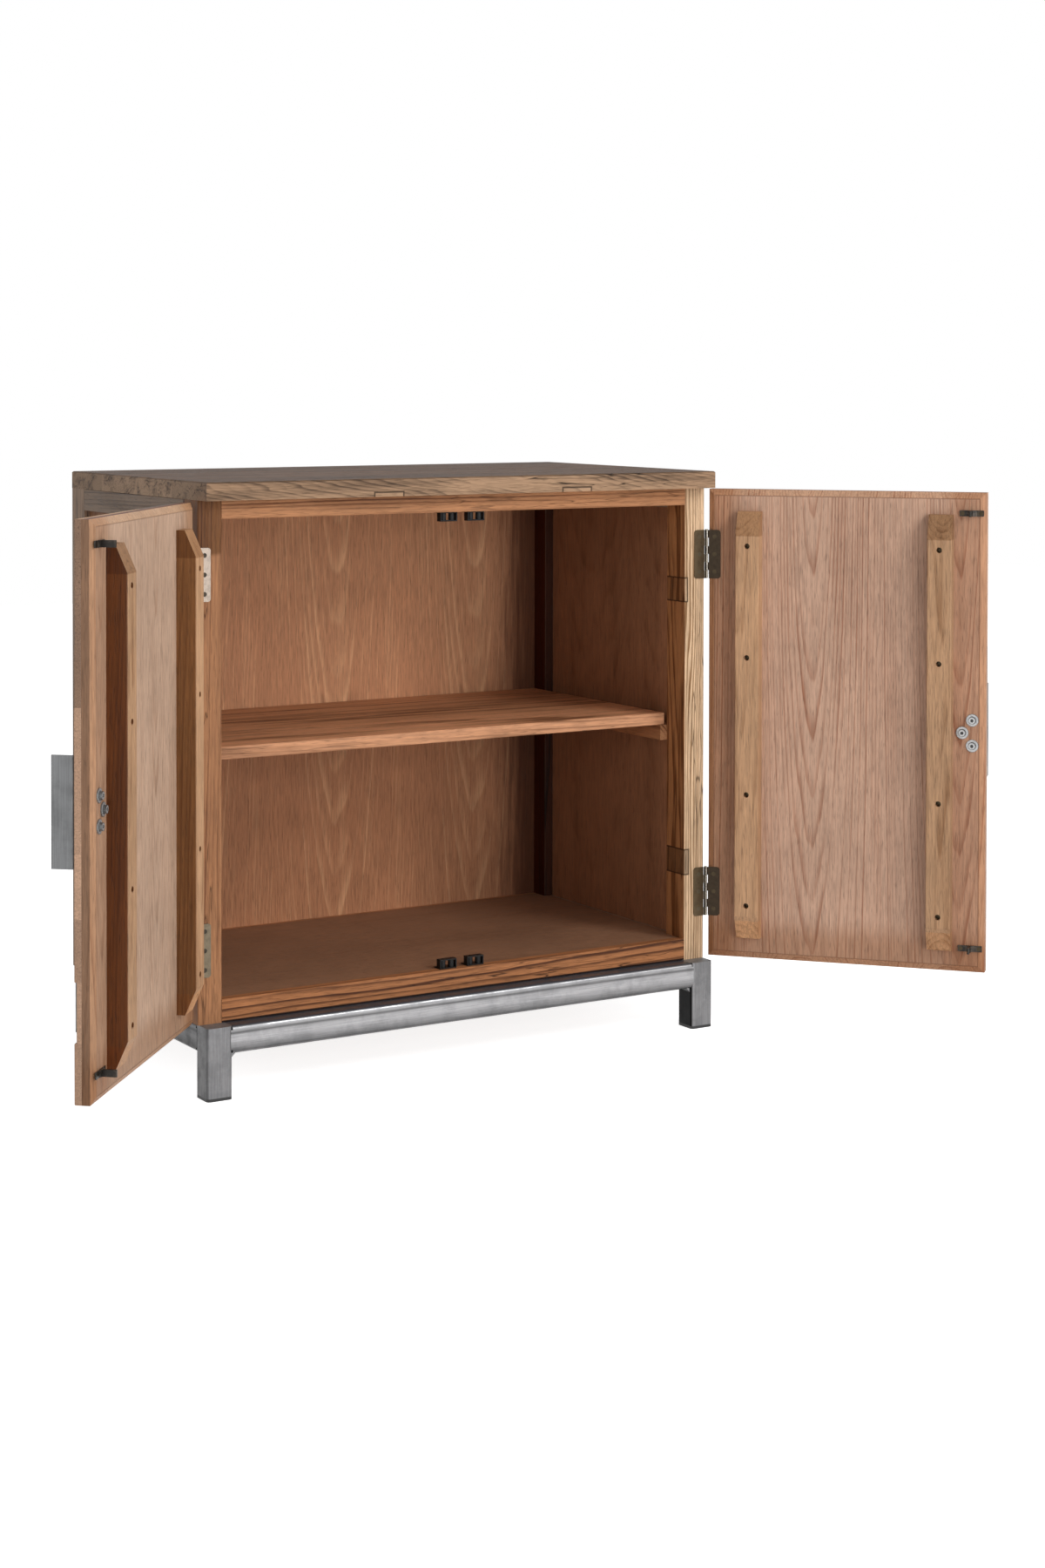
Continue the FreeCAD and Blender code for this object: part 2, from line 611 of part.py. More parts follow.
def welds(body, ends, low_side, seam_sides, along_x):
    """Fillet welds below both ends of a base rail, and flush seams up its sides to the legs."""
    start = f"{low_side} + tube_round"
    under = sketch_in(body, "XZ_Plane" if along_x else "YZ_Plane", f"0 - ({start})" if along_x else start)
    seams = sketch_in(body, "XY_Plane", "tube_round")
    for end, inward, outward in zip(ends, "+-", "-+"):
        outline(under, ((end, "0"), (f"{end} {inward} weld", "0"), (end, "0 - weld")))
        for side, to_middle in seam_sides:
            corners = ((end, side), (f"{end} {outward} weld_seam", side), (end, f"{side} {to_middle} weld_seam"))
            outline(seams, corners if along_x else [pair[::-1] for pair in corners])
    pad(body, under, "tube_wide - 2 * tube_round", along_x)
    pad(body, seams, "tube_wide - 2 * tube_round")


def base_cross_rail(label, y):
    """Front or back rail of the base."""
    body = new_body(label)
    start = "tube_wide - base_x"
    pad(body, rectangle(sketch_in(body, "YZ_Plane", start), y, f"{y} + tube_wide", "0", "tube_wide"), "base_long")
    inside = (f"{y} + tube_wall", f"{y} + tube_wide - tube_wall", "tube_wall", "tube_wide - tube_wall")
    round_tube_hole(body, rectangle(sketch_in(body, "YZ_Plane", start), *inside), "base_long", 0)
    welds(body, (start, "base_x - tube_wide"), y, ((y, "+"), (f"{y} + tube_wide", "-")), True)
    in_plan(body, "base_tall - tube_wide")


def base_side_rail(label, side):
    """Side rail of the base, with access and clearance holes for two screws into the wood. The
    seams of the cross rails fill the inner corners, so this rail has only its outer seams."""
    body = new_body(label)
    x = ("base_x - tube_wide", "base_x") if side == 1 else ("0 - base_x", "tube_wide - base_x")
    start = "0 - (base_inset + tube_wide)"
    pad(body, rectangle(sketch_in(body, "XZ_Plane", start), *x, "0", "tube_wide"), "base_deep", True)
    inside = (f"{x[0]} + tube_wall", f"{x[1]} - tube_wall", "tube_wall", "tube_wide - tube_wall")
    dress(body, "Fillet", long_edges(body.Tip.Shape, 1), "tube_round")
    cut(body, rectangle(sketch_in(body, "XZ_Plane", start), *inside), "base_deep")
    for level, radius in (("0", "access_radius"), ("tube_wide / 2", "screw_radius + run_gap")):
        holes = sketch_in(body, "XY_Plane", level)
        for share in BASE_SCREW_SHARES:
            y = f"base_inset + tube_wide + base_deep * {share}"
            circle(holes, hand(side, "base_x - tube_wide / 2"), y, radius)
        cut(body, holes, "tube_wide / 2", True)
    ends = ("base_inset + tube_wide", "depth - base_inset - tube_wide")
    outer_seam = ((x[1], "-") if side == 1 else (x[0], "+"),)
    welds(body, ends, x[0], outer_seam, False)
    in_plan(body, "base_tall - tube_wide")


def foot_caps():
    """Plastic feet: a flange of the tube's outline and a plug inside it."""
    cap = new_body("foot_cap_pattern", False)
    pad(cap, rectangle(sketch_in(cap, "XY_Plane"), "0", "tube_wide", "0", "tube_wide"), "foot_tall")
    dress(cap, "Fillet", long_edges(cap.Tip.Shape, 2), "tube_round")
    low = "tube_wall + fit_gap"
    high = "tube_wide - tube_wall - fit_gap"
    pad(cap, rectangle(sketch_in(cap, "XY_Plane", "foot_tall"), low, high, low, high), "foot_plug")
    shapes = []
    for x in ("0 - base_x", "base_x - tube_wide"):
        for y in ("base_inset", "depth - base_inset - tube_wide"):
            shapes.append(moved(cap.Shape, x, y, "0"))
    in_plan(copies("foot_caps", shapes), "0")


def base():
    front, back = "base_inset", "depth - base_inset - tube_wide"
    leg("base_leg_front_left", -1, front)
    leg("base_leg_front_right", 1, front)
    leg("base_leg_back_left", -1, back)
    leg("base_leg_back_right", 1, back)
    base_cross_rail("base_rail_front", front)
    base_cross_rail("base_rail_back", back)
    base_side_rail("base_rail_left", -1)
    base_side_rail("base_rail_right", 1)
    foot_caps()


# Fastener patterns. A screw's head faces +Z at its origin and its shank runs down -Z.
def fasteners():
    """One countersunk screw, one long screw, one bolt and one washer, to copy from."""
    screw = new_body("countersunk_screw_pattern", False)
    profile = [("0", "0"), ("screw_head - run_gap", "0"), ("screw_radius", "0 - leaf_thick")]
    profile += [("screw_radius", "screw_tip - screw_long"), ("0", "0 - screw_long")]
    revolve(screw, profile)
    long_screw = new_body("long_screw_pattern", False)
    profile = [("0", "pan_tall"), ("pan_radius", "pan_tall"), ("pan_radius", "0")]
    profile += [("screw_radius", "0"), ("screw_radius", "screw_tip - pan_long"), ("0", "0 - pan_long")]
    revolve(long_screw, profile)
    bolt = new_body("pull_bolt_pattern", False)
    length = "washer_thick + door_thick + pull_plate - 2 * knuckle_gap"
    profile = [("0", "bolt_head_tall"), ("bolt_head", "bolt_head_tall"), ("bolt_head", "0")]
    profile += [("bolt_radius", "0"), ("bolt_radius", f"0 - ({length})"), ("0", f"0 - ({length})")]
    revolve(bolt, profile)
    socket = sketch_in(bolt, "XY_Plane", "bolt_head_tall")
    turns = [f"{60 * step} deg" for step in range(6)]
    outline(socket, [(f"socket_radius * cos({turn})", f"socket_radius * sin({turn})") for turn in turns])
    cut(bolt, socket, "socket_deep")
    washer = new_body("washer_pattern", False)
    ring = circle(sketch_in(washer, "XY_Plane"), "0", "0", "washer_radius")
    circle(ring, "0", "0", "bolt_radius + run_gap")
    pad(washer, ring, "washer_thick")
    return screw.Shape, long_screw.Shape, bolt.Shape, washer.Shape


# Butt hinges. A leaf is drawn from the pin axis, its plate along X, with Z from its lower end.
def leaf_pattern(label, side, first, closed_y):
    """A leaf: plate, three knuckles with their roots, bore and countersunk holes."""
    body = new_body(label, False)
    frame_leaf = closed_y == 1
    lift = "0 - leaf_gap / 2" if frame_leaf else "leaf_gap / 2"
    x = sorted((hand(side, "plate_x"), hand(side, "leaf_wide")), key=value)
    pad(body, rectangle(sketch_in(body, "XZ_Plane", lift), *x, "0", "hinge_tall"), "leaf_thick", frame_leaf)
    far = value(hand(side, "leaf_wide"))
    near = value("run_gap")
    corners = []
    for index, edge in enumerate(body.Tip.Shape.Edges, 1):
        ends = [vertex.Point for vertex in edge.Vertexes]
        if all(abs(end.x - far) < near for end in ends) and abs(ends[0].z - ends[1].z) < near:
            corners.append(f"Edge{index}")
    dress(body, "Fillet", corners, "leaf_round")
    low = f"pitch * {first} + knuckle_gap / 2"
    root = sketch_in(body, "XZ_Plane", lift)
    span = sorted(("0", hand(side, "plate_x + run_gap")), key=value)
    rectangle(root, *span, low, f"{low} + pitch - knuckle_gap")
    root_pad = pad(body, root, "leaf_thick", frame_leaf)
    barrel = circle(sketch_in(body, "XY_Plane", low), "0", "0", "knuckle_radius")
    barrel_pad = pad(body, barrel, "pitch - knuckle_gap")
    repeat_up(body, [root_pad, barrel_pad], "2 * pitch", HINGE_SEGMENTS // 2)
    bore = circle(sketch_in(body, "XY_Plane", "hinge_tall"), "0", "0", "pin_radius + run_gap")
    cut(body, bore, "hinge_tall")
    y = "leaf_gap / 2" if frame_leaf else "0 - leaf_gap / 2"
    heading = Vector(0, 1, 0) if frame_leaf else Vector(0, -1, 0)
    for share in LEAF_SCREW_SHARES:
        cone_cut(body, hand(side, "leaf_screw_x"), y, f"hinge_tall * {share}", heading)
    return body.Shape


def pin_pattern():
    """A hinge pin with a small head above the knuckles."""
    body = new_body("hinge_pin_pattern", False)
    head = "pin_radius + knuckle_radius / 4"
    profile = [("0", "0"), ("pin_radius", "0"), ("pin_radius", "hinge_tall"), (head, "hinge_tall")]
    profile += [(head, "hinge_tall + pin_head"), ("0", "hinge_tall + pin_head")]
    revolve(body, profile)
    return body.Shape


# Roller catches. The case is drawn from the middle of its mounting face, front edge at Y zero.
def case_pattern():
    """A sheet-metal case: a square channel for the rollers on a longer mounting plate."""
    body = new_body("catch_case_pattern", False)
    half = "case_wide / 2"
    ring = rectangle(sketch_in(body, "XZ_Plane"), f"0 - {half}", half, "0", "case_tall")
    inside = (f"case_wall - {half}", f"{half} - case_wall", "case_wall", "case_tall - case_wall")
    rectangle(ring, *inside)
    pad(body, ring, "case_deep", True)
    plate = rectangle(sketch_in(body, "XY_Plane"), f"0 - {half}", half, "0", "case_foot")
    pad(body, plate, "case_wall")
    journals = sketch_in(body, "XY_Plane")
    for side in (-1, 1):
        circle(journals, hand(side, "roller_x"), "roller_back", "journal_radius + run_gap")
    cut(body, journals, "case_tall", True)
    for side in (-1, 1):
        cone_cut(body, hand(side, "case_screw_x"), "case_screw_y", "case_wall", Vector(0, 0, -1))
    return body.Shape


def roller(label, side, roller_side, z):
    """A catch roller: a barrel that turns on its own two journals in the case."""
    body = new_body(label)
    low, high = "case_wall + knuckle_gap", "case_tall - case_wall - knuckle_gap"
    profile = [("0", "knuckle_gap"), ("journal_radius", "knuckle_gap"), ("journal_radius", low)]
    profile += [("roller_radius", low), ("roller_radius", high), ("journal_radius", high)]
    profile += [("journal_radius", "case_tall - knuckle_gap"), ("0", "case_tall - knuckle_gap")]
    revolve(body, profile)
    x = f"{hand(side, 'case_x')} + {hand(roller_side, 'roller_x')}"
    place(body, x=x, y="front_y + case_y + roller_back", z=z)


def hardware(screw, long_screw):
    """Pieces of hinges and catches that belong to the carcass, and the screws that hold them."""
    screws = []
    leaves = []
    pins = []
    pin = pin_pattern()
    for side in (-1, 1):
        leaf = leaf_pattern(f"frame_leaf_pattern_{'left' if side == -1 else 'right'}", -side, 0, 1)
        for hinge_z in ("hinge_inset", "hinge_top_z"):
            z = f"door_z + {hinge_z}"
            leaves.append(moved(leaf, hand(side, "pin_x"), "pin_depth", z))
            pins.append(moved(pin, hand(side, "pin_x"), "pin_depth", z))
            for share in LEAF_SCREW_SHARES:
                x = hand(side, "pin_x - leaf_screw_x")
                y = "pin_depth + leaf_gap / 2"
                screws.append(moved(screw, x, y, f"{z} + hinge_tall * {share}", Vector(0, -1, 0)))
    in_plan(copies("hinge_frame_leaves", leaves), "0")
    in_plan(copies("hinge_pins", pins), "0")
    case = case_pattern()
    cases = []
    for side in (-1, 1):
        x = hand(side, "case_x")
        cases.append(moved(case, x, "case_y", "floor_z"))
        upper = case.copy()
        upper.Placement = Placement(
            Vector(value(x), value("case_y"), value("top_z - top_rail_tall")),
            Rotation(Vector(0, 1, 0), 180),
        )
        cases.append(upper)
        for step in ("case_x - case_screw_x", "case_x + case_screw_x"):
            spot = (hand(side, step), "case_y + case_screw_y")
            screws.append(moved(screw, *spot, "floor_z + case_wall"))
            upper_z = "top_z - top_rail_tall - case_wall"
            screws.append(moved(screw, *spot, upper_z, Vector(0, 0, -1)))
    in_plan(copies("catch_cases", cases), "0")
    in_plan(copies("cabinet_screws", screws), "0")
    base_screws = []
    for side in (-1, 1):
        for share in BASE_SCREW_SHARES:
            spot = (hand(side, "base_x - tube_wide / 2"), f"base_inset + tube_wide + base_deep * {share}")
            base_screws.append(moved(long_screw, *spot, "base_tall - tube_wall", Vector(0, 0, -1)))
    in_plan(copies("base_screws", base_screws), "0")
    for side, name in ((-1, "left"), (1, "right")):
        for roller_side, place_name in ((-1, "left"), (1, "right")):
            roller(f"{name}_low_catch_{place_name}_roller", side, roller_side, "floor_z")
            upper_z = "top_z - top_rail_tall - case_tall"
            roller(f"{name}_top_catch_{place_name}_roller", side, roller_side, upper_z)


# Doors. A door's pieces are drawn closed, from its pin axis: X towards the free edge (mirrored
# on the right door), Y into the cabinet, Z from the door's lower edge.
def hang(thing, side, z="door_z"):
    """Hang a piece of a door on its pin axis, turned open as it stands at rest."""
    thing.Placement = Placement(Vector(), Rotation(Vector(0, 0, 1), 1))
    thing.setExpression("Placement.Rotation.Angle", f"{side} * {formula('door_open')} * 1 deg")
    place(thing, hand(side, "pin_x"), "front_y + pin_depth", z)


def door_board(label, side):
    """Inner board with a bevel round its face and the holes of everything that is fixed to it."""
    body = new_body(label)
    out = -side
    x = sorted((hand(out, "pin_out"), hand(out, "door_end_x")), key=value)
    lift = "0 - (face_y - bevel_deep)"
    slab = rectangle(sketch_in(body, "XZ_Plane", lift), *x, "0", "door_tall")
    pad(body, slab, "board_thick - bevel_deep")
    bevel = body.newObject("PartDesign::AdditiveWedge", f"{body.Name}_bevel")
    plane = next(p for p in body.Origin.OriginFeatures if p.Role == "XY_Plane")
    bevel.AttachmentSupport = [(plane, "")]
    bevel.MapMode = "FlatFace"
    sizes = {"Xmin": x[0], "Xmax": x[1], "X2min": f"{x[0]} + bevel_face", "X2max": f"{x[1]} - bevel_face"}
    sizes |= {"Zmin": "0", "Zmax": "door_tall", "Z2min": "bevel_face", "Z2max": "door_tall - bevel_face"}
    sizes |= {"Ymin": "face_y - bevel_deep", "Ymax": "face_y"}
    for name, text in sizes.items():
        bevel.setExpression(name, formula(text))
    doc.recompute()
    holes = sketch_in(body, "XZ_Plane", "0 - face_y")
    for hinge_z in ("hinge_inset", "hinge_top_z"):
        for share in LEAF_SCREW_SHARES:
            z = f"{hinge_z} + hinge_tall * {share}"
            circle(holes, hand(out, "leaf_screw_x"), z, "screw_radius + run_gap")
    for z in ("catch_low_z", "catch_top_z"):
        for step in ("strike_x - strike_screw", "strike_x + strike_screw"):
            circle(holes, hand(out, step), z, "screw_radius + run_gap")
    cut(body, holes, "screw_long - leaf_thick + run_gap", True)
    holes = sketch_in(body, "XZ_Plane", "0 - face_y")
    for x_text in ("pin_out + batten_inset", "door_end_x - batten_inset"):
        for share in BATTEN_SCREW_SHARES:
            z = f"batten_end + (door_tall - 2 * batten_end) * {share}"
            circle(holes, hand(out, x_text), z, "screw_radius + run_gap")
    cut(body, holes, "pan_long - batten_thick + bore_deep + run_gap", True)
    holes = sketch_in(body, "XZ_Plane", "0 - face_y")
    for x_text, z in bolt_spots():
        circle(holes, hand(out, x_text), z, "bolt_radius + run_gap")
    cut(body, holes, "board_thick", True)
    hang(body, side)


def bolt_spots():
    """Places of the three bolts that hold a pull."""
    spots = [("bolt_x", "pull_z + bolt_rise"), ("bolt_x - bolt_across", "pull_z")]
    return spots + [("bolt_x", "pull_z - bolt_rise")]


def door_blocks(label, side, rows):
    """Outer layer: rows of reclaimed blocks of uneven thickness with bevelled outer edges."""
    pieces = []
    top = 1.0
    for row_share, joints, sinks in rows:
        low = max(top - row_share, 0)
        stops = (0, *joints, 1)
        for start, stop, sink in zip(stops, stops[1:], sinks):
            thick = value(f"block_thick * (1 - {sink})")
            x = sorted(value(hand(-side, f"pin_out + door_wide * {share}")) for share in (start, stop))
            back = value("face_y - board_thick")
            corner = Vector(x[0], back - thick, value(f"door_tall * {low}"))
            block = Part.makeBox(x[1] - x[0], thick, value(f"door_tall * ({top} - {low})"), corner)
            rim = [edge for edge in block.Edges if edge.BoundBox.YMax < back - thick / 2]
            pieces.append(block.makeChamfer(value("block_ease"), rim))
        top = low
    reach = value("door_thick")
    drill = value("bolt_radius + run_gap")
    for x_text, z in bolt_spots():
        foot = Vector(value(hand(-side, x_text)), value("face_y"), value(z))
        hole = Part.makeCylinder(drill, 2 * reach, foot, Vector(0, -1, 0))
        pieces = [piece.cut(hole) if piece.common(hole).Volume > 0 else piece for piece in pieces]
    hang(copies(label, [piece.Solids[0] for piece in pieces]), side)


def batten(label, side, x_text):
    """Batten with sloped ends and four counterbored screw holes."""
    body = new_body(label)
    length = "door_tall - 2 * batten_end"
    corners = [("face_y", "0"), ("face_y + batten_nose", "0"), ("face_y + batten_thick", "batten_slope")]
    corners += [("face_y + batten_thick", f"{length} - batten_slope")]
    corners += [("face_y + batten_nose", length), ("face_y", length)]
    start = f"{hand(-side, x_text)} - batten_wide / 2"
    pad(body, outline(sketch_in(body, "YZ_Plane", start), corners), "batten_wide")
    dress(body, "Chamfer", batten_arris(body.Tip.Shape), "ease")
    for radius, depth in (("bore_radius", "bore_deep"), ("screw_radius + run_gap", "batten_thick")):
        holes = sketch_in(body, "XZ_Plane", "0 - (face_y + batten_thick)")
        for share in BATTEN_SCREW_SHARES:
            circle(holes, hand(-side, x_text), f"({length}) * {share}", radius)
        cut(body, holes, depth, True)
    hang(body, side, "door_z + batten_end")


def batten_arris(shape):
    """Names of the two long edges of a batten that face the inside of the cabinet."""
    crest = value("face_y + batten_thick")
    near = value("run_gap")
    names = []
    for index, edge in enumerate(shape.Edges, 1):
        ends = [vertex.Point for vertex in edge.Vertexes]
        upright = abs(ends[0].x - ends[1].x) < near and abs(ends[0].y - ends[1].y) < near
        if upright and abs(ends[0].y - crest) < near:
            names.append(f"Edge{index}")
    return names


def pull(label, side):
    """Steel angle: a flange on the door and a fin standing off it near the free edge."""
    body = new_body(label)
    out = -side
    edge = "door_end_x - pull_inset"
    section = [(edge, "outer_y"), (edge, "outer_y - pull_proud")]
    section += [(f"{edge} - pull_plate", "outer_y - pull_proud")]
    section += [(f"{edge} - pull_plate", "outer_y - pull_plate")]
    section += [(f"{edge} - pull_wide", "outer_y - pull_plate"), (f"{edge} - pull_wide", "outer_y")]
    corners = [(hand(out, x), y) for x, y in section]
    pad(body, outline(sketch_in(body, "XY_Plane", "pull_z - pull_tall / 2"), corners), "pull_tall")
    near = value("run_gap")
    names = []
    for index, side_edge in enumerate(body.Tip.Shape.Edges, 1):
        ends = [vertex.Point for vertex in side_edge.Vertexes]
        at_bend = all(abs(end.x - value(hand(out, edge))) < near for end in ends)
        if at_bend and all(abs(end.y - value("outer_y")) < near for end in ends):
            names.append(f"Edge{index}")
    dress(body, "Fillet", names, "pull_round")
    holes = sketch_in(body, "XZ_Plane", "0 - outer_y")
    for x_text, z in bolt_spots():
        circle(holes, hand(out, x_text), z, "bolt_radius + run_gap")
    cut(body, holes, "pull_plate", True)
    hang(body, side)


def strike_pattern():
    """Strike of a roller catch: an arched plate with a blade that runs between the rollers."""
    body = new_body("strike_pattern", False)
    face = "leaf_thick"
    half = "strike_wide / 2"
    blade = "blade_thick / 2"
    right = [(half, "0"), (half, face), ("arch_half", face), (blade, f"{face} + arch_rise")]
    right += [(blade, f"blade_long - {blade}"), (f"{blade} / 2", "blade_long")]
    left = [(hand(-1, x), y) for x, y in reversed(right)]
    sketch = outline(sketch_in(body, "XY_Plane", "0 - strike_tall / 2"), right + left)
    pad(body, sketch, "strike_tall")
    for side in (-1, 1):
        cone_cut(body, hand(side, "strike_screw"), face, "0", Vector(0, -1, 0))
    return body.Shape


def door(name, side, rows, screw, long_screw, bolt, washer, strike):
    """One door with everything that is fixed to it."""
    out = -side
    door_board(f"{name}_door_board", side)
    door_blocks(f"{name}_door_blocks", side, rows)
    batten(f"{name}_door_hinge_batten", side, "pin_out + batten_inset")
    batten(f"{name}_door_free_batten", side, "door_end_x - batten_inset")
    pull(f"{name}_door_pull", side)
    inward = Vector(0, 1, 0)
    fixings = []
    for x_text, z in bolt_spots():
        fixings.append(moved(washer, hand(out, x_text), "face_y", z, inward))
        fixings.append(moved(bolt, hand(out, x_text), "face_y + washer_thick", z, inward))
    hang(copies(f"{name}_pull_bolts", fixings), side)
    leaf = leaf_pattern(f"{name}_door_leaf_pattern", out, 1, -1)
    leaves = [moved(leaf, "0", "0", z) for z in ("hinge_inset", "hinge_top_z")]
    hang(copies(f"{name}_hinge_door_leaves", leaves), side)
    screws = []
    for hinge_z in ("hinge_inset", "hinge_top_z"):
        for share in LEAF_SCREW_SHARES:
            spot = (hand(out, "leaf_screw_x"), "0 - leaf_gap / 2", f"{hinge_z} + hinge_tall * {share}")
            screws.append(moved(screw, *spot, inward))
    strikes = []
    for z in ("catch_low_z", "catch_top_z"):
        strikes.append(moved(strike, hand(out, "strike_x"), "face_y", z))
        for step in ("strike_x - strike_screw", "strike_x + strike_screw"):
            screws.append(moved(screw, hand(out, step), "face_y + leaf_thick", z, inward))
    for x_text in ("pin_out + batten_inset", "door_end_x - batten_inset"):
        for share in BATTEN_SCREW_SHARES:
            z = f"batten_end + (door_tall - 2 * batten_end) * {share}"
            y = "face_y + batten_thick - bore_deep"
            screws.append(moved(long_screw, hand(out, x_text), y, z, inward))
    hang(copies(f"{name}_catch_strikes", strikes), side)
    hang(copies(f"{name}_door_screws", screws), side)


def check_and_write():
    """Stop on any failed object or bad shape, then write one file for each node."""
    doc.recompute()
    for thing in doc.Objects:
        if "Invalid" in thing.State or "Error" in thing.State:
            raise RuntimeError(f"{thing.Label} failed: {thing.State}")
    for node in nodes:
        if node.Shape.isNull() or not node.Shape.isValid():
            raise RuntimeError(f"{node.Label} has no valid shape")
    os.makedirs("parts", exist_ok=True)
    for node in nodes:
        node.Shape.exportStep(f"parts/{node.Label}.step")
    print(len(nodes), "nodes,", sum(len(node.Shape.Solids) for node in nodes), "solids")


top_board()
front_post("left_front_post", -1)
front_post("right_front_post", 1)
back_post("left_back_post", -1)
back_post("right_back_post", 1)
side_top_rail("left_top_rail", -1)
side_top_rail("right_top_rail", 1)
side_low_rail("left_low_rail", -1)
side_low_rail("right_low_rail", 1)
front_top_rail()
front_low_rail()
back_rails()
panels()
floor_board()
shelf()
shelf_cleats()
base()
screw_shape, long_screw_shape, bolt_shape, washer_shape = fasteners()
hardware(screw_shape, long_screw_shape)
fixings_shapes = (screw_shape, long_screw_shape, bolt_shape, washer_shape, strike_pattern())
door("left", -1, LEFT_BLOCK_SHARES, *fixings_shapes)
door("right", 1, RIGHT_BLOCK_SHARES, *fixings_shapes)
check_and_write()
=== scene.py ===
import json
import math

import bpy
from mathutils import Matrix, Vector


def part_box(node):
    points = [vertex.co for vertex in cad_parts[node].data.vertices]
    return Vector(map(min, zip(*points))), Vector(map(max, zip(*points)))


# The looks of a two-door cabinet of reclaimed wood on a steel tube base, standing open.
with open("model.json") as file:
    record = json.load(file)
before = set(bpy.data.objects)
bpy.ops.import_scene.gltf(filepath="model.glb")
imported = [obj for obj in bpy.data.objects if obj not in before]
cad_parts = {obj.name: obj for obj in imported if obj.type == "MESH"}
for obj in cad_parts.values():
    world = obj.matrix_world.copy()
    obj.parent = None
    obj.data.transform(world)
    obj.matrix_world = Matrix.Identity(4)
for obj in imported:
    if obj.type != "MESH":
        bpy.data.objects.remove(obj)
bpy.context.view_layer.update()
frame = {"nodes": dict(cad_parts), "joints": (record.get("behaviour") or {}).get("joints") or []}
nodes = frame["nodes"]
joints = {joint["name"]: joint for joint in frame["joints"]}

# Both door leaves stand open at rest by the angle that their hinges still have towards closed.
DOOR_OPEN = -math.radians(joints["left_door_hinge"]["range_deg"][0])
DOOR_TURN = {"left": -DOOR_OPEN, "right": DOOR_OPEN}
HAND = {"left": 1, "right": -1}
PINS = {side: Vector(joints[f"{side}_door_hinge"]["pos_m"]) for side in HAND}

# Sizes that the looks share with the solids, in metres. A door is measured from its hinge pin.
DOOR_START, DOOR_END = 0.0028, 0.4013
DOOR_HALF = 0.338
LIPPING = 0.009
BOLT_PLACES = ((0.3833, 0.018), (0.3833, -0.018), (0.3693, 0.0))
SOCKET_RADIUS, HEAD_RADIUS, WASHER_RADIUS = 0.0026, 0.005, 0.0088
KNUCKLE_INNER, KNUCKLE_OUTER = 0.0026, 0.0034
PLANK_SHARES = (0.24, 0.49, 0.76)
RAIL_LOW, RAIL_TALL, RAIL_WAVE = 0.059, 0.036, 0.006
# Each batten's place on the door, its middle and the step of its number from the door's.
BATTENS = (("hinge", 0.0648, 5), ("free", 0.3393, 4))
# The outer blocks of a door, row by row from its top: the row's share of the height, and where
# its joints lie as shares of the width from the hinge edge.
BLOCK_SHARES = {
    "left": ((0.213, (0.44,)), (0.108, (0.27, 0.68)), (0.250, (0.52,)), (0.111, (0.20, 0.61)),
             (0.108, (0.36,)), (0.104, (0.16, 0.72)), (0.106, (0.49,))),
    "right": ((0.108, (0.33, 0.70)), (0.213, (0.58,)), (0.250, (0.41,)), (0.106, (0.24, 0.66)),
              (0.111, (0.47,)), (0.104, (0.30, 0.78)), (0.108, (0.55,))),
}

# Fine dark lines, in metres: how far from their middle they start to fade, and where they end.
# Those round bolt heads and washers are painted shadow.
JOINT_LINE, PATCH_LINE, HEAD_SHADOW_LINE = (0.0002, 0.0011), (0.0005, 0.0016), (0.0002, 0.001)
# How soft the edges of the block rows, the lipping and the sockets are, in metres.
ROW_SOFT, LIPPING_SOFT, SOCKET_SOFT = 0.00001, 0.0004, 0.0006

# How fine the patterns are, in repeats over a metre.
DRIFTS, RIPPLES, STREAKS, FIBRES, PORES, BLOTCHES, STAINS = 9.0, 60.0, 38.0, 420.0, 900.0, 7.0, 150.0
BRUSH_LINES, PATINA_CLOUDS, RAIL_TONE_WAVES = 900.0, 30.0, 60.0
PAINT_GRAIN, PAINT_WEAR = 900.0, 120.0
BRONZE_GRAIN, BRONZE_WEAR = 1200.0, 200.0
ZINC_GRAIN, ZINC_CLOUDS = 1500.0, 400.0

# How deep the relief of each surface is, in metres.
WOOD_RELIEF, STEEL_RELIEF, PAINT_RELIEF = 0.0003, 0.00004, 0.00004
BRONZE_RELIEF, ZINC_RELIEF = 0.00003, 0.00002

# How rough the smooth and the open parts of each surface are.
WOOD_ROUGH, BRONZE_ROUGH, ZINC_ROUGH = (0.47, 0.65), (0.32, 0.45), (0.28, 0.4)

# Curves of place and value: early to late wood over one growth ring, and a base rail's tone from
# its lower to its upper edge: painted shade low down, a painted reflection brightest along its
# middle, and a dark line below its upper edge.
RING_CURVE = ((0.0, 0.0), (0.4, 0.1), (0.75, 0.8), (0.88, 1.0), (1.0, 0.0))
RAIL_SHEEN_AND_LINE_CURVE = ((0.0, 0.6), (0.10, 0.28), (0.22, 0.5), (0.50, 0.95), (0.68, 0.85), (0.76, 0.3), (0.84, 0.8),
              (1.0, 0.9))

# Steps between the numbers of a board and of its block rows, patches and lipping, so that each
# piece has a growth of its own.
ROW_STEP, PATCH_STEP, LIPPING_STEP = 4, 11.0, 5.0
# How much slower the pattern changes along the grain than across it, how far apart in the log the
# pieces are cut, in metres, and how far their pith lines lie apart.
GRAIN_SHARE, CUT_APART, PITH_APART = 0.06, 9.0, 0.03
# How much slower brush lines change along the brush than across it.
BRUSH_SHARE = 0.02


def linear(red, green, blue):
    """A colour written as 0 to 255 steps of a screen, as the shader wants it."""
    def channel(step):
        share = step / 255
        return share / 12.92 if share <= 0.04045 else ((share + 0.055) / 1.055) ** 2.4
    return (channel(red), channel(green), channel(blue), 1.0)


def scaled(color, share):
    """A colour made darker or lighter."""
    return tuple(share * step for step in color[:3]) + (1.0,)


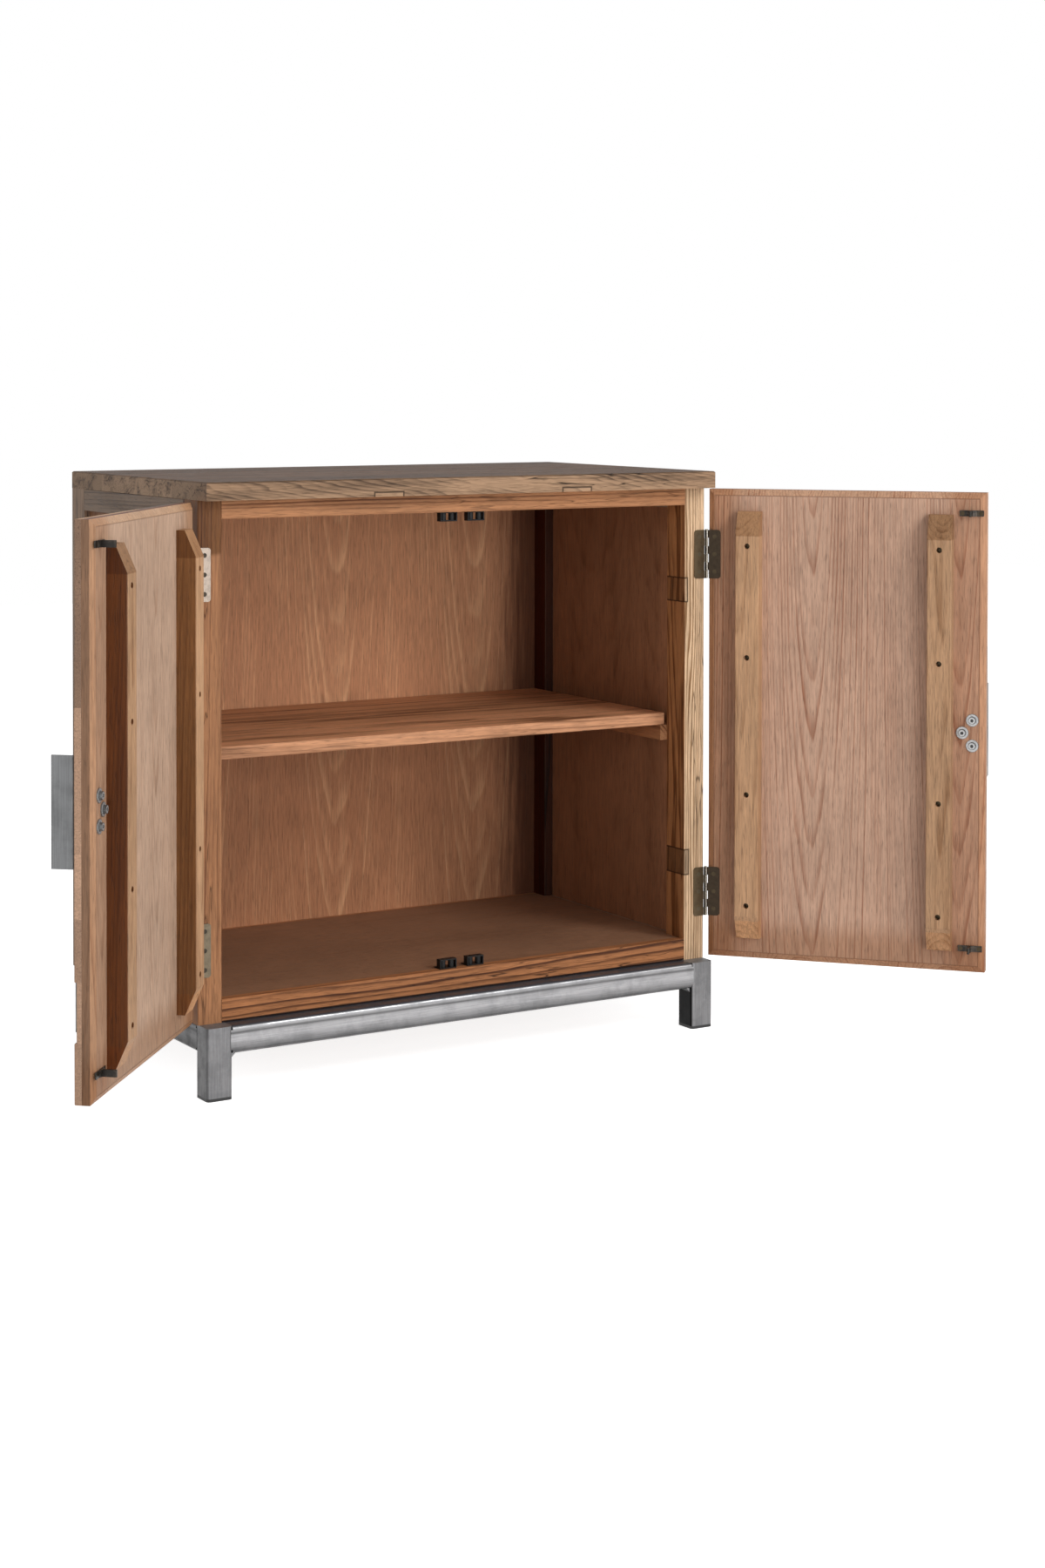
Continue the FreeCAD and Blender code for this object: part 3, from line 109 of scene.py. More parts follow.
class Network:
    """A tree of shader nodes, built with short calls."""

    def __init__(self, tree):
        self.tree = tree

    def node(self, kind, **settings):
        """A node with its own settings."""
        node = self.tree.nodes.new(kind)
        for name, setting in settings.items():
            setattr(node, name, setting)
        return node

    def feed(self, socket, source):
        """Give a socket a plain value or the output of another node."""
        if isinstance(source, bpy.types.NodeSocket):
            self.tree.links.new(source, socket)
        else:
            socket.default_value = source

    def math(self, operation, a, b=0.0):
        node = self.node("ShaderNodeMath", operation=operation)
        self.feed(node.inputs[0], a)
        self.feed(node.inputs[1], b)
        return node.outputs[0]

    def chain(self, operation, terms):
        total = terms[0]
        for term in terms[1:]:
            total = self.math(operation, total, term)
        return total

    def plus(self, *terms):
        return self.chain("ADD", terms)

    def times(self, *terms):
        return self.chain("MULTIPLY", terms)

    def greatest(self, *terms):
        return self.chain("MAXIMUM", terms)

    def least(self, *terms):
        return self.chain("MINIMUM", terms)

    def minus(self, a, b):
        return self.math("SUBTRACT", a, b)

    def divided(self, a, b):
        return self.math("DIVIDE", a, b)

    def apart(self, a, b=0.0):
        """The distance between two values."""
        return self.math("ABSOLUTE", self.minus(a, b))

    def past(self, a, b):
        """One where the first value is greater than the second, and zero elsewhere."""
        return self.math("GREATER_THAN", a, b)

    def vector(self, operation, a, b=(0, 0, 0)):
        node = self.node("ShaderNodeVectorMath", operation=operation)
        self.feed(node.inputs[0], a)
        self.feed(node.inputs[1], b)
        return node.outputs["Value" if operation == "LENGTH" else "Vector"]

    def join(self, x, y, z=0.0):
        node = self.node("ShaderNodeCombineXYZ")
        for socket, source in zip(node.inputs, (x, y, z)):
            self.feed(socket, source)
        return node.outputs[0]

    def split(self, vector):
        node = self.node("ShaderNodeSeparateXYZ")
        self.feed(node.inputs[0], vector)
        return dict(zip("xyz", node.outputs))

    def reach(self, x, y):
        """How far a point lies from the middle."""
        return self.vector("LENGTH", self.join(x, y))

    def noise(self, place, scale=1.0, detail=2.0, roughness=0.5, distortion=0.0):
        node = self.node("ShaderNodeTexNoise")
        self.feed(node.inputs["Vector"], place)
        node.inputs["Scale"].default_value = scale
        node.inputs["Detail"].default_value = detail
        node.inputs["Roughness"].default_value = roughness
        node.inputs["Distortion"].default_value = distortion
        return node.outputs["Fac"]

    def waver(self, place, scale, width):
        """A smooth wander to both sides of zero, within a width."""
        return self.times(self.minus(self.noise(place, scale), 0.5), width)

    def random(self, number):
        """A fixed random share for each whole number."""
        node = self.node("ShaderNodeTexWhiteNoise", noise_dimensions="1D")
        self.feed(node.inputs["W"], number)
        return node.outputs["Value"]

    def level(self, source, low, high, to_low=0.0, to_high=1.0):
        """Stretch a range of values smoothly over another, and hold its ends."""
        node = self.node("ShaderNodeMapRange", interpolation_type="SMOOTHSTEP")
        for name, number in zip(("From Min", "From Max", "To Min", "To Max"), (low, high, to_low, to_high)):
            node.inputs[name].default_value = number
        self.feed(node.inputs["Value"], source)
        return node.outputs["Result"]

    def between(self, source, low, high, soft):
        """One between two values and zero beyond, with soft ends."""
        return self.times(self.level(source, low - soft, low + soft),
                          self.level(source, high - soft, high + soft, 1.0, 0.0))

    def inside(self, u, v, low_u, high_u, low_v, high_v):
        """How far a point lies inside a rectangle, below zero outside it."""
        return self.least(self.minus(u, low_u), self.minus(high_u, u),
                          self.minus(v, low_v), self.minus(high_v, v))

    def mix(self, share, a, b, blend="MIX"):
        node = self.node("ShaderNodeMix", data_type="RGBA", blend_type=blend)
        self.feed(node.inputs[0], share)
        self.feed(node.inputs[6], a)
        self.feed(node.inputs[7], b)
        return node.outputs[2]

    def tint(self, share, color, factor):
        """Multiply a colour by another where share is one."""
        return self.mix(share, color, self.mix(1.0, color, factor, "MULTIPLY"))

    def shade(self, color, tone):
        """Darken or lighten a colour by a factor."""
        return self.mix(1.0, color, self.join(tone, tone, tone), "MULTIPLY")

    def curve(self, share, stops):
        """A curve through pairs of place and value."""
        node = self.node("ShaderNodeValToRGB")
        elements = node.color_ramp.elements
        while len(elements) < len(stops):
            elements.new(1.0)
        for element, (place, value) in zip(elements, stops):
            element.position = place
            element.color = (value, value, value, 1.0)
        self.feed(node.inputs[0], share)
        return node.outputs[0]

    def seen_rays(self):
        """One for the rays that see the backdrop: straight, mirrored or through glass."""
        rays = self.node("ShaderNodeLightPath").outputs
        return self.greatest(rays["Is Camera Ray"], rays["Is Glossy Ray"], rays["Is Transmission Ray"])


class Finish(Network):
    """One material on a piece's own coordinates, in metres."""

    def __init__(self, name, side=None):
        self.material = bpy.data.materials.new(name)
        self.material.use_nodes = True
        super().__init__(self.material.node_tree)
        self.shader = self.tree.nodes["Principled BSDF"]
        self.side = side

    def at_rest(self, output):
        """The piece's coordinates or normal as it stands at rest."""
        return self.node("ShaderNodeTexCoord").outputs[output]

    def own(self, output):
        """The same, but on a door as on the closed door, from the hinge pin, with X towards the
        free edge."""
        source = self.at_rest(output)
        if self.side is None:
            return source
        turn = -DOOR_TURN[self.side]
        mapping = self.node("ShaderNodeMapping")
        mapping.inputs["Rotation"].default_value = (0, 0, turn)
        if output == "Object":
            mapping.inputs["Location"].default_value = -(Matrix.Rotation(turn, 3, "Z") @ PINS[self.side])
        self.feed(mapping.inputs["Vector"], source)
        return self.vector("MULTIPLY", mapping.outputs["Vector"], (HAND[self.side], 1, 1))

    def facing(self, axis, sign):
        """A mask of the faces that look along one of the piece's own axes."""
        return self.level(self.times(self.split(self.own("Normal"))[axis], sign), 0.5, 0.85)

    def tint_faces(self, color, tints):
        """Tint the faces that look along an axis: each tint is an axis, a sign and a factor."""
        for axis, sign, factor in tints:
            color = self.tint(self.facing(axis, sign), color, factor)
        return color

    def bump(self, height, depth):
        node = self.node("ShaderNodeBump")
        node.inputs["Distance"].default_value = depth
        node.inputs["Strength"].default_value = 1.0
        self.feed(node.inputs["Height"], height)
        self.feed(self.shader.inputs["Normal"], node.outputs["Normal"])

    def paint(self, color, roughness, metallic=0.0, shine=0.5):
        """Feed the shader, and hand the finished material back."""
        for name, source in (("Base Color", color), ("Roughness", roughness), ("Metallic", metallic),
                             ("Specular IOR Level", shine)):
            self.feed(self.shader.inputs[name], source)
        return self.material


class Board(Finish):
    """The wood of one piece, by its places along the grain, across its face and deep into it.
    Each plank, block, leaf and patch has a number, which gives it a growth of its own."""

    def __init__(self, name, grain, face_axis, side, seed):
        super().__init__(name, side)
        deep_axis = next(axis for axis in "xyz" if axis not in (grain, face_axis))
        self.parts = self.split(self.own("Object"))
        self.along, self.across, self.deep = (self.parts[axis] for axis in (grain, face_axis, deep_axis))
        self.number = self.leaf_number = float(seed)
        self.outline = self.strip = 0.0
        self.patch_tone = 1.0

    def planks(self, joint_places):
        """Planks side by side, with their joints at places across the grain."""
        for place in joint_places:
            self.number = self.plus(self.number, self.past(self.across, place))

    def blocks(self):
        """The outer blocks of a door, row by row from its top."""
        width = DOOR_END - DOOR_START
        top = 1.0
        for row, (tall, joint_shares) in enumerate(BLOCK_SHARES[self.side]):
            low = top - tall
            low_z, top_z = (2 * low - 1) * DOOR_HALF, (2 * top - 1) * DOOR_HALF
            here = self.between(self.parts["z"], low_z, top_z, ROW_SOFT)
            steps = [self.past(self.parts["x"], DOOR_START + width * share) for share in joint_shares]
            self.number = self.plus(self.number, self.times(here, self.plus(float(row * ROW_STEP), *steps)))
            top = low

    def leaves(self, start, width):
        """Veneer leaves cut one after the other, which repeat the same arches side by side."""
        leaf = self.math("FLOOR", self.divided(self.minus(self.across, start), width))
        middle = self.plus(start, self.times(self.plus(leaf, 0.5), width))
        self.across = self.minus(self.across, middle)
        self.leaf_number = self.plus(leaf, self.leaf_number)

    def patches(self, axis, patches):
        """Inlaid patches with a growth and a tone of their own, inside a dark outline. Each has
        its ends along the grain, its ends along another axis, and its tone."""
        for index, (*place, tone) in enumerate(patches):
            edge = self.inside(self.along, self.parts[axis], *place)
            within = self.past(edge, 0.0)
            self.number = self.plus(self.number, self.times(within, PATCH_STEP + index))
            self.patch_tone = self.times(self.patch_tone, self.plus(1.0, self.times(within, tone - 1.0)))
            self.outline = self.greatest(self.outline, self.level(self.apart(edge), *PATCH_LINE, 0.8, 0.0))

    def lipping(self):
        """The solid strip round a door's board, and the fine joint line beside it."""
        edge = self.inside(self.parts["x"], self.parts["z"], DOOR_START, DOOR_END, -DOOR_HALF, DOOR_HALF)
        self.strip = self.level(edge, LIPPING - LIPPING_SOFT, LIPPING + LIPPING_SOFT, 1.0, 0.0)
        self.number = self.plus(self.number, self.times(self.strip, LIPPING_STEP))
        self.outline = self.level(self.apart(edge, LIPPING), *JOINT_LINE, 0.35, 0.0)

    def cut(self):
        """Once all numbers are known: a chance for each, and the spot in the log that it is cut
        from, drawn out along the grain."""
        self.chance = self.random(self.number)
        shift = self.times(self.chance, CUT_APART)
        place = self.join(self.times(self.along, GRAIN_SHARE), self.across, self.deep)
        self.spot = self.vector("ADD", place, self.join(shift, shift, shift))

    def late_wood(self, rings, pith, centre, lean, wander):
        """How dark the growth is. The rings lie round a pith line behind the board, which leans
        away from it so that its face shows arches."""
        drift = self.waver(self.spot, DRIFTS, wander * 8)
        sway = self.times(self.minus(self.chance, 0.5), PITH_APART)
        beside = self.plus(self.minus(self.across, centre), drift, sway)
        behind = self.plus(self.deep, pith, self.times(self.along, lean))
        ripple = self.waver(self.spot, RIPPLES, wander)
        count = self.divided(self.plus(self.reach(beside, behind), ripple), rings)
        late = self.curve(self.math("FRACT", count), RING_CURVE)
        return self.times(late, self.level(self.random(self.math("FLOOR", count)), 0.0, 1.0, 0.3, 1.0))

    def tone(self, fibre, pores, spread):
        """Light and dark of the board, its veneer leaf, fibres, pores, blotches and patches."""
        board = self.level(self.chance, 0.0, 1.0, 1.0 - spread, 1.0 + spread)
        leaf = self.level(self.random(self.leaf_number), 0.0, 1.0, 0.97, 1.03)
        fibres = self.level(fibre, 0.25, 0.75, 0.82, 1.14)
        grown = self.minus(self.times(board, leaf, fibres), self.times(pores, 0.25))
        blotch = self.noise(self.own("Object"), BLOTCHES, 3.0, 0.6)
        return self.times(grown, self.level(blotch, 0.3, 0.7, 0.92, 1.07), self.patch_tone)

    def stain(self, color, bands):
        """Stretches of another colour with wavering ends: each band has an axis, its two ends,
        their softness and the factor."""
        for axis, low, high, soft, factor in bands:
            place = self.plus(self.parts[axis], self.waver(self.spot, STAINS, soft * 1.5))
            color = self.tint(self.between(place, low, high, soft), color, factor)
        return color

    def cracks(self, amount, scale, sawn):
        """Thin dark cracks that come and go, but not on sawn ends."""
        crack = self.apart(self.noise(self.spot, scale, 2.0, 0.5, 0.3), 0.5)
        where = self.level(self.noise(self.spot, scale / 3, 1.0), 0.48, 0.6)
        return self.times(self.level(crack, 0.0, 0.02, 1.0, 0.0), where, amount, self.minus(1.0, sawn))


def wood(name, grain, face_axis, light, dark, seed, side=None, rings=0.0045, pith=0.04, centre=0.0,
         lean=-0.06, contrast=0.7, wander=0.004, mottle=0.3, cracked=0.0, crack_scale=90.0, leaf=None,
         joint_places=(), blocks=False, tone_spread=0.12, patches=(), patch_axis="z", bands=(),
         lipping=None, ends=None, tints=(), shine=0.2):
    """Solid or sliced wood between a light and a dark growth colour. Its rings lie so far apart,
    round a pith so far behind its face and beside it, and wander so far, in metres, and the pith
    leans by a slope. Contrast, mottle, tone_spread and cracked say how much rings, streaks, single
    boards and cracks stand out. A lipping and sawn ends have a colour where it is given."""
    board = Board(name, grain, face_axis, side, seed)
    board.planks(joint_places)
    if blocks:
        board.blocks()
    if leaf:
        board.leaves(*leaf)
    board.patches(patch_axis, patches)
    if lipping:
        board.lipping()
    board.cut()

    late = board.late_wood(rings, pith, centre, lean, wander)
    streak = board.level(board.noise(board.spot, STREAKS, 3.0, 0.6), 0.3, 0.7, -mottle, mottle)
    fibre = board.noise(board.spot, FIBRES, 2.0, 0.7)
    pores = board.level(board.noise(board.spot, PORES, 1.0), 0.58, 0.70)
    tone = board.tone(fibre, pores, tone_spread)
    share = board.level(board.plus(board.times(late, contrast), streak), 0.0, 1.0)
    color = board.shade(board.mix(share, light, dark), tone)
    sawn = 0.0
    if ends:
        sawn = board.times(board.facing(grain, 1), 0.85)
        color = board.mix(sawn, color, board.shade(ends, tone))
    color = board.stain(color, bands)
    if lipping:
        color = board.tint(board.strip, color, lipping)
    dark_lines = board.outline
    if cracked:
        dark_lines = board.greatest(dark_lines, board.cracks(cracked, crack_scale, sawn))
    color = board.tint_faces(board.mix(dark_lines, color, scaled(dark, 0.22)), tints)

    height = board.plus(board.times(fibre, 0.4), board.times(late, 0.25), board.times(pores, -0.6))
    board.bump(board.minus(height, board.times(dark_lines, 1.5)), WOOD_RELIEF)
    return board.paint(color, board.level(fibre, 0.2, 0.8, *WOOD_ROUGH), shine=shine)


def steel(name, color, rough, patina=0.35, brush="x", side=None, tints=(), metallic=1.0, rail=False,
          top=None):
    """Brushed steel with cloudy patina, brushed along one axis. A rail has a dark line below its
    upper edge, and a painted reflection that is brightest along its middle and darkens towards its
    lower edge. Its top faces may carry painted shade instead, in a given dark colour without metal
    shine."""
    finish = Finish(name, side)
    place = finish.own("Object")
    drawn = finish.vector("MULTIPLY", place, tuple(BRUSH_SHARE if axis == brush else 1.0 for axis in "xyz"))
    lines = finish.noise(drawn, BRUSH_LINES, 3.0, 0.7)
    cloud = finish.level(finish.noise(place, PATINA_CLOUDS, 4.0, 0.65), 0.38, 0.66)
    shade = finish.mix(finish.times(cloud, patina), color, scaled(color, 0.4))
    shade = finish.shade(shade, finish.level(lines, 0.25, 0.75, 0.8, 1.15))
    shade = finish.tint_faces(shade, tints)
    # A rail's painted reflection and painted shade, from its lower to its upper edge.
    if rail:
        height = finish.plus(finish.split(place)["z"], finish.waver(drawn, RAIL_TONE_WAVES, RAIL_WAVE))
        up = finish.divided(finish.minus(height, RAIL_LOW), RAIL_TALL)
        shade = finish.shade(shade, finish.curve(up, RAIL_SHEEN_AND_LINE_CURVE))
    # Painted shade on the top faces, which also takes their metal shine away.
    if top:
        top_shade = finish.facing("z", 1)
        shade = finish.mix(top_shade, shade, finish.shade(top, finish.level(lines, 0.25, 0.75, 0.85, 1.1)))
        metallic = finish.times(finish.minus(1.0, top_shade), metallic)
    finish.bump(lines, STEEL_RELIEF)
    return finish.paint(shade, finish.level(cloud, 0.0, 1.0, rough - 0.06, rough + 0.12), metallic)


def plain(name, color, rough, metallic=0.0, worn=None, right=None, shine=0.5):
    """A painted, plated or moulded surface with fine grain and light wear, in a colour of its own
    on the right half of the cabinet where that is given."""
    finish = Finish(name)
    place = finish.own("Object")
    grain = finish.noise(place, PAINT_GRAIN, 3.0)
    wear = finish.level(finish.noise(place, PAINT_WEAR, 3.0), 0.45, 0.75)
    shade = finish.mix(wear, color, worn or scaled(color, 0.75))
    if right:
        shade = finish.mix(finish.past(finish.split(place)["x"], 0.0), shade, right)
    finish.bump(grain, PAINT_RELIEF)
    return finish.paint(shade, finish.level(grain, 0.3, 0.7, rough - 0.07, rough + 0.07), metallic, shine)


def bronze(name, color, left_worn=False):
    """Antique bronze of the hinges, with darker knuckles that carry a painted highlight along the
    crest that faces forward. Of the frame leaves the ones on the left have lost their colour, most
    of all the upper one."""
    finish = Finish(name)
    place = finish.own("Object")
    parts = finish.split(place)
    cloud = finish.level(finish.noise(place, BRONZE_WEAR, 3.0), 0.4, 0.7)
    shade = finish.mix(finish.times(cloud, 0.5), color, scaled(color, 0.6))
    if left_worn:
        bare = finish.mix(finish.past(parts["z"], UPPER_HINGES), WORN_BRONZE, BARE_BRONZE)
        bare = finish.shade(bare, finish.level(cloud, 0.0, 1.0, 1.0, 0.8))
        shade = finish.mix(finish.past(LEFT_HINGES, parts["x"]), shade, bare)
    knuckle = 0.0
    for pin in PINS.values():
        far = finish.reach(finish.minus(parts["x"], pin.x), finish.minus(parts["y"], pin.y))
        knuckle = finish.greatest(knuckle, finish.level(far, KNUCKLE_INNER, KNUCKLE_OUTER, 1.0, 0.0))
    # A painted highlight: a narrow bright line on each knuckle where it faces forward.
    highlight_line = finish.level(finish.times(finish.split(finish.own("Normal"))["y"], -1.0), 0.93, 0.985)
    dark_knuckle = finish.tint(knuckle, shade, KNUCKLE_SHADE)
    shade = finish.mix(finish.times(knuckle, highlight_line), dark_knuckle, KNUCKLE_HIGHLIGHT)
    grain = finish.noise(place, BRONZE_GRAIN)
    finish.bump(grain, BRONZE_RELIEF)
    return finish.paint(shade, finish.level(grain, 0.3, 0.7, *BRONZE_ROUGH), 0.85)


def zinc(side):
    """Zinc-plated bolts and washers: painted shade in the sockets, and a painted shadow line round
    each head and each washer.
    """
    finish = Finish(f"{side} zinc plating", side)
    parts = finish.split(finish.own("Object"))
    tone = finish.level(finish.noise(finish.at_rest("Object"), ZINC_CLOUDS, 3.0), 0.3, 0.7, 0.8, 1.1)
    # Painted shade in each socket, and painted shadow lines round its head and washer.
    for across, up in BOLT_PLACES:
        far = finish.reach(finish.minus(parts["x"], across), finish.minus(parts["z"], up))
        tone = finish.times(tone, finish.level(far, SOCKET_RADIUS - SOCKET_SOFT, SOCKET_RADIUS, 0.12, 1.0))
        for radius, darkest in ((HEAD_RADIUS, 0.3), (WASHER_RADIUS, 0.45)):
            tone = finish.times(tone, finish.level(finish.apart(far, radius), *HEAD_SHADOW_LINE, darkest, 1.0))
    grain = finish.noise(finish.at_rest("Object"), ZINC_GRAIN)
    finish.bump(grain, ZINC_RELIEF)
    return finish.paint(finish.shade(ZINC, tone), finish.level(grain, 0.3, 0.7, *ZINC_ROUGH), 0.5)


def dress(node, material):
    """Give a piece of the frame its finish."""
    for slot in nodes[node].material_slots:
        slot.material = material


# Colours of the woods: light and dark growth.
TAN, TAN_END = linear(190, 150, 116), linear(186, 150, 126)
ORANGE, ORANGE_DARK = linear(184, 130, 90), linear(96, 54, 30)
RED, RED_DARK = linear(186, 124, 80), scaled(ORANGE_DARK, 0.8)
PALE, PALE_DARK = scaled(linear(200, 170, 138), 1.12), scaled(linear(126, 94, 62), 1.05)
PINK, PINK_DARK = linear(206, 168, 144), linear(160, 108, 82)
SOFT, SOFT_DARK = linear(202, 170, 146), linear(178, 142, 117)
BATTEN, BATTEN_DARK = linear(190, 150, 115), linear(138, 98, 66)
VENEER, VENEER_DARK, VENEER_PALE = linear(184, 132, 97), linear(142, 94, 62), linear(212, 164, 124)
FLOOR_WOOD, FLOOR_DARK = linear(150, 112, 86), linear(120, 86, 62)
GREY, GREY_DARK = linear(150, 128, 110), linear(70, 54, 44)
TOP_WOOD, BACK_POST = linear(178, 144, 114), linear(168, 140, 118)

# Colours of the metals and of the black plastic.
BASE_STEEL, RAIL_TOP_SHADE, LEG_TOP_SHADE, PULL_STEEL = (
    linear(178, 178, 180), linear(56, 62, 70), linear(104, 108, 112), linear(117, 118, 119))
FRAME_BRONZE, DOOR_BRONZE, KNUCKLE_HIGHLIGHT = linear(102, 88, 67), linear(57, 47, 36), linear(232, 226, 214)
WORN_BRONZE, BARE_BRONZE, KNUCKLE_SHADE = linear(108, 97, 80), linear(151, 138, 126), linear(150, 150, 150)
ZINC, STRIKE_BLACK, STRIKE_WORN = linear(184, 184, 184), linear(34, 30, 26), linear(72, 63, 54)
PIN_STEEL, SCREW_DARK, SCREW_BRIGHT = linear(150, 140, 118), linear(56, 50, 42), linear(104, 95, 76)
DOOR_SCREW, BASE_SCREW = linear(70, 60, 45), linear(120, 118, 114)
CASE_BLACK, CASE_WORN, ROLLER_BLACK, FOOT_BLACK = (
    linear(17, 16, 16), linear(36, 33, 31), linear(18, 18, 18), linear(26, 26, 26))

# The frame leaves that are worn lie left of one place, and are bare above another, in metres.
LEFT_HINGES, UPPER_HINGES = -0.3, 0.5

top_low, top_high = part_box("top_board")
front_y = top_low.y


def top_woods():
    """The planks of the top, with two patches let into the front edge."""
    planks = [front_y + (top_high.y - front_y) * share for share in PLANK_SHARES]
    dress("top_board", wood(
        "top planks", "x", "y", TOP_WOOD, GREY_DARK, 1, rings=0.006, pith=0.06, lean=0.22, contrast=0.42,
        mottle=0.5, cracked=1.0, crack_scale=110.0, wander=0.02, joint_places=planks, shine=0.12,
        tints=(("z", 1, linear(130, 114, 98)), ("x", -1, scaled(linear(240, 246, 255), 1.04))),
        patches=((-0.155, -0.111, 0.77, 0.782, 1.0), (0.141, 0.188, 0.77, 0.782, 1.0))))


def front_posts():
    """A stained head on the left post, and two dark patches on the right one, whose inner face
    carries painted shade.
    """
    dress("left_front_post", wood(
        "left front post wood", "z", "x", scaled(ORANGE, 0.76), ORANGE_DARK, 3, rings=0.006, wander=0.008,
        mottle=0.4, cracked=0.8, bands=(("z", 0.705, 0.80, 0.004, linear(183, 172, 149)),)))
    dress("right_front_post", wood(
        "right front post wood", "z", "x", PALE, PALE_DARK, 6, rings=0.005, wander=0.014, contrast=1.1,
        # Painted shade on the post's inner face, which looks to the left.
        cracked=0.8, tints=(("x", -1, linear(200, 164, 132)),), patch_axis="x",
        patches=((0.612, 0.646, 0.355, 0.371, 0.72), (0.218, 0.254, 0.355, 0.374, 0.62))))


# Painted light and shade on the side woods: a little painted shade on the outer left panel, dark
# painted shade in the inner back corner at the right, and painted light on the panel beside it,
# towards the front.
LEFT_PANEL_PAINTED_SHADE = (("x", -1, linear(228, 228, 226)),)
RIGHT_CORNER_PAINTED_SHADE = (("y", -1, linear(84, 50, 32)), ("x", -1, linear(102, 51, 20)))
RIGHT_PANEL_PAINTED_LIGHT = (("y", -0.1, 0.01, 0.03, (1.35, 1.38, 1.4, 1.0)),)


def side_woods(side, seed, post_shade_tints, panel_shade_tints, panel_light_bands):
    """The back post, the rails and the panel of one side."""
    dress(f"{side}_back_post", wood(f"{side} back post wood", "z", "x", BACK_POST, GREY_DARK, seed + 20,
                                    mottle=0.4, cracked=0.5, tints=post_shade_tints))
    for rail, step in (("top", 30), ("low", 40)):
        dress(f"{side}_{rail}_rail", wood(f"{side} {rail} rail wood", "y", "z", GREY, GREY_DARK,
                                          seed + step, cracked=0.6))
    dress(f"{side}_side_panel", wood(
        f"{side} side panel veneer", "z", "y", scaled(VENEER, 0.72), scaled(VENEER_DARK, 0.7), seed + 50,
        leaf=(-0.1, 0.2), contrast=0.35, bands=panel_light_bands, tints=panel_shade_tints))


def front_rails():
    """The low rail has bold growth, and a painted shadow along its lower edge."""
    dress("front_top_rail", wood("front top rail wood", "x", "z", ORANGE, ORANGE_DARK, 11, rings=0.006,
                                 lean=0.03, contrast=0.8, wander=0.006, cracked=0.5))
    dress("front_low_rail", wood("front low rail wood", "x", "z", RED, RED_DARK, 12, rings=0.009, lean=0.05,
                                 contrast=1.3, wander=0.012, cracked=0.8,
                                 # Painted shadow along the rail's lower edge, above the base.
                                 bands=(("z", 0.09, 0.0975, 0.0005, linear(62, 56, 56)),)))


def back_woods():
    """The panel has painted shade below the shelf and towards the right corner."""
    dress("back_top_rail", wood("back top rail wood", "x", "z", ORANGE, ORANGE_DARK, 13))
    dress("back_low_rail", wood("back low rail wood", "x", "z", ORANGE, ORANGE_DARK, 14))
    dress("back_panel", wood(
        "back panel veneer", "z", "x", scaled(VENEER, 1.08), scaled(VENEER_PALE, 1.08), 15,
        leaf=(-0.091, 0.24), pith=-0.255, lean=-0.065, rings=0.0048, contrast=0.62,
        # Painted shade below the shelf, across the right half and deep in the right corner.
        bands=(("z", 0.0, 0.42, 0.03, linear(228, 222, 218)),
               ("x", 0.2, 0.5, 0.08, linear(232, 232, 232)),
               ("x", 0.315, 0.5, 0.035, linear(130, 110, 98)))))


def shelf_woods():
    """The floor board, and the loose shelf on its cleats. The shelf has painted shade towards its
    back and on its front edge.
    """
    dress("floor_board", wood("floor board veneer", "x", "y", FLOOR_WOOD, FLOOR_DARK, 16, contrast=0.3,
                              mottle=0.25))
    dress("shelf", wood(
        "shelf wood", "x", "y", scaled(VENEER, 1.5), scaled(VENEER_DARK, 0.85), 17, rings=0.009, lean=0.03,
        contrast=0.8, wander=0.014, mottle=0.45, cracked=0.5,
        # Painted shade towards the back of the shelf and on its front edge.
        bands=(("y", 0.1, 0.4, 0.08, linear(216, 214, 210)),), tints=(("y", -1, linear(226, 228, 230)),)))
    dress("shelf_cleats", wood("shelf cleat wood", "y", "z", ORANGE, ORANGE_DARK, 18))


# Painted shade on the doors as well: on the edge of the board, and on the sides of its two battens.
LEFT_EDGE_SHADE, RIGHT_EDGE_SHADE = linear(208, 210, 216), linear(235, 235, 235)
LEFT_BATTEN_SIDE_SHADE = (linear(166, 144, 116), linear(150, 110, 74))
RIGHT_BATTEN_SIDE_SHADE = (linear(235, 235, 235), linear(235, 235, 235))


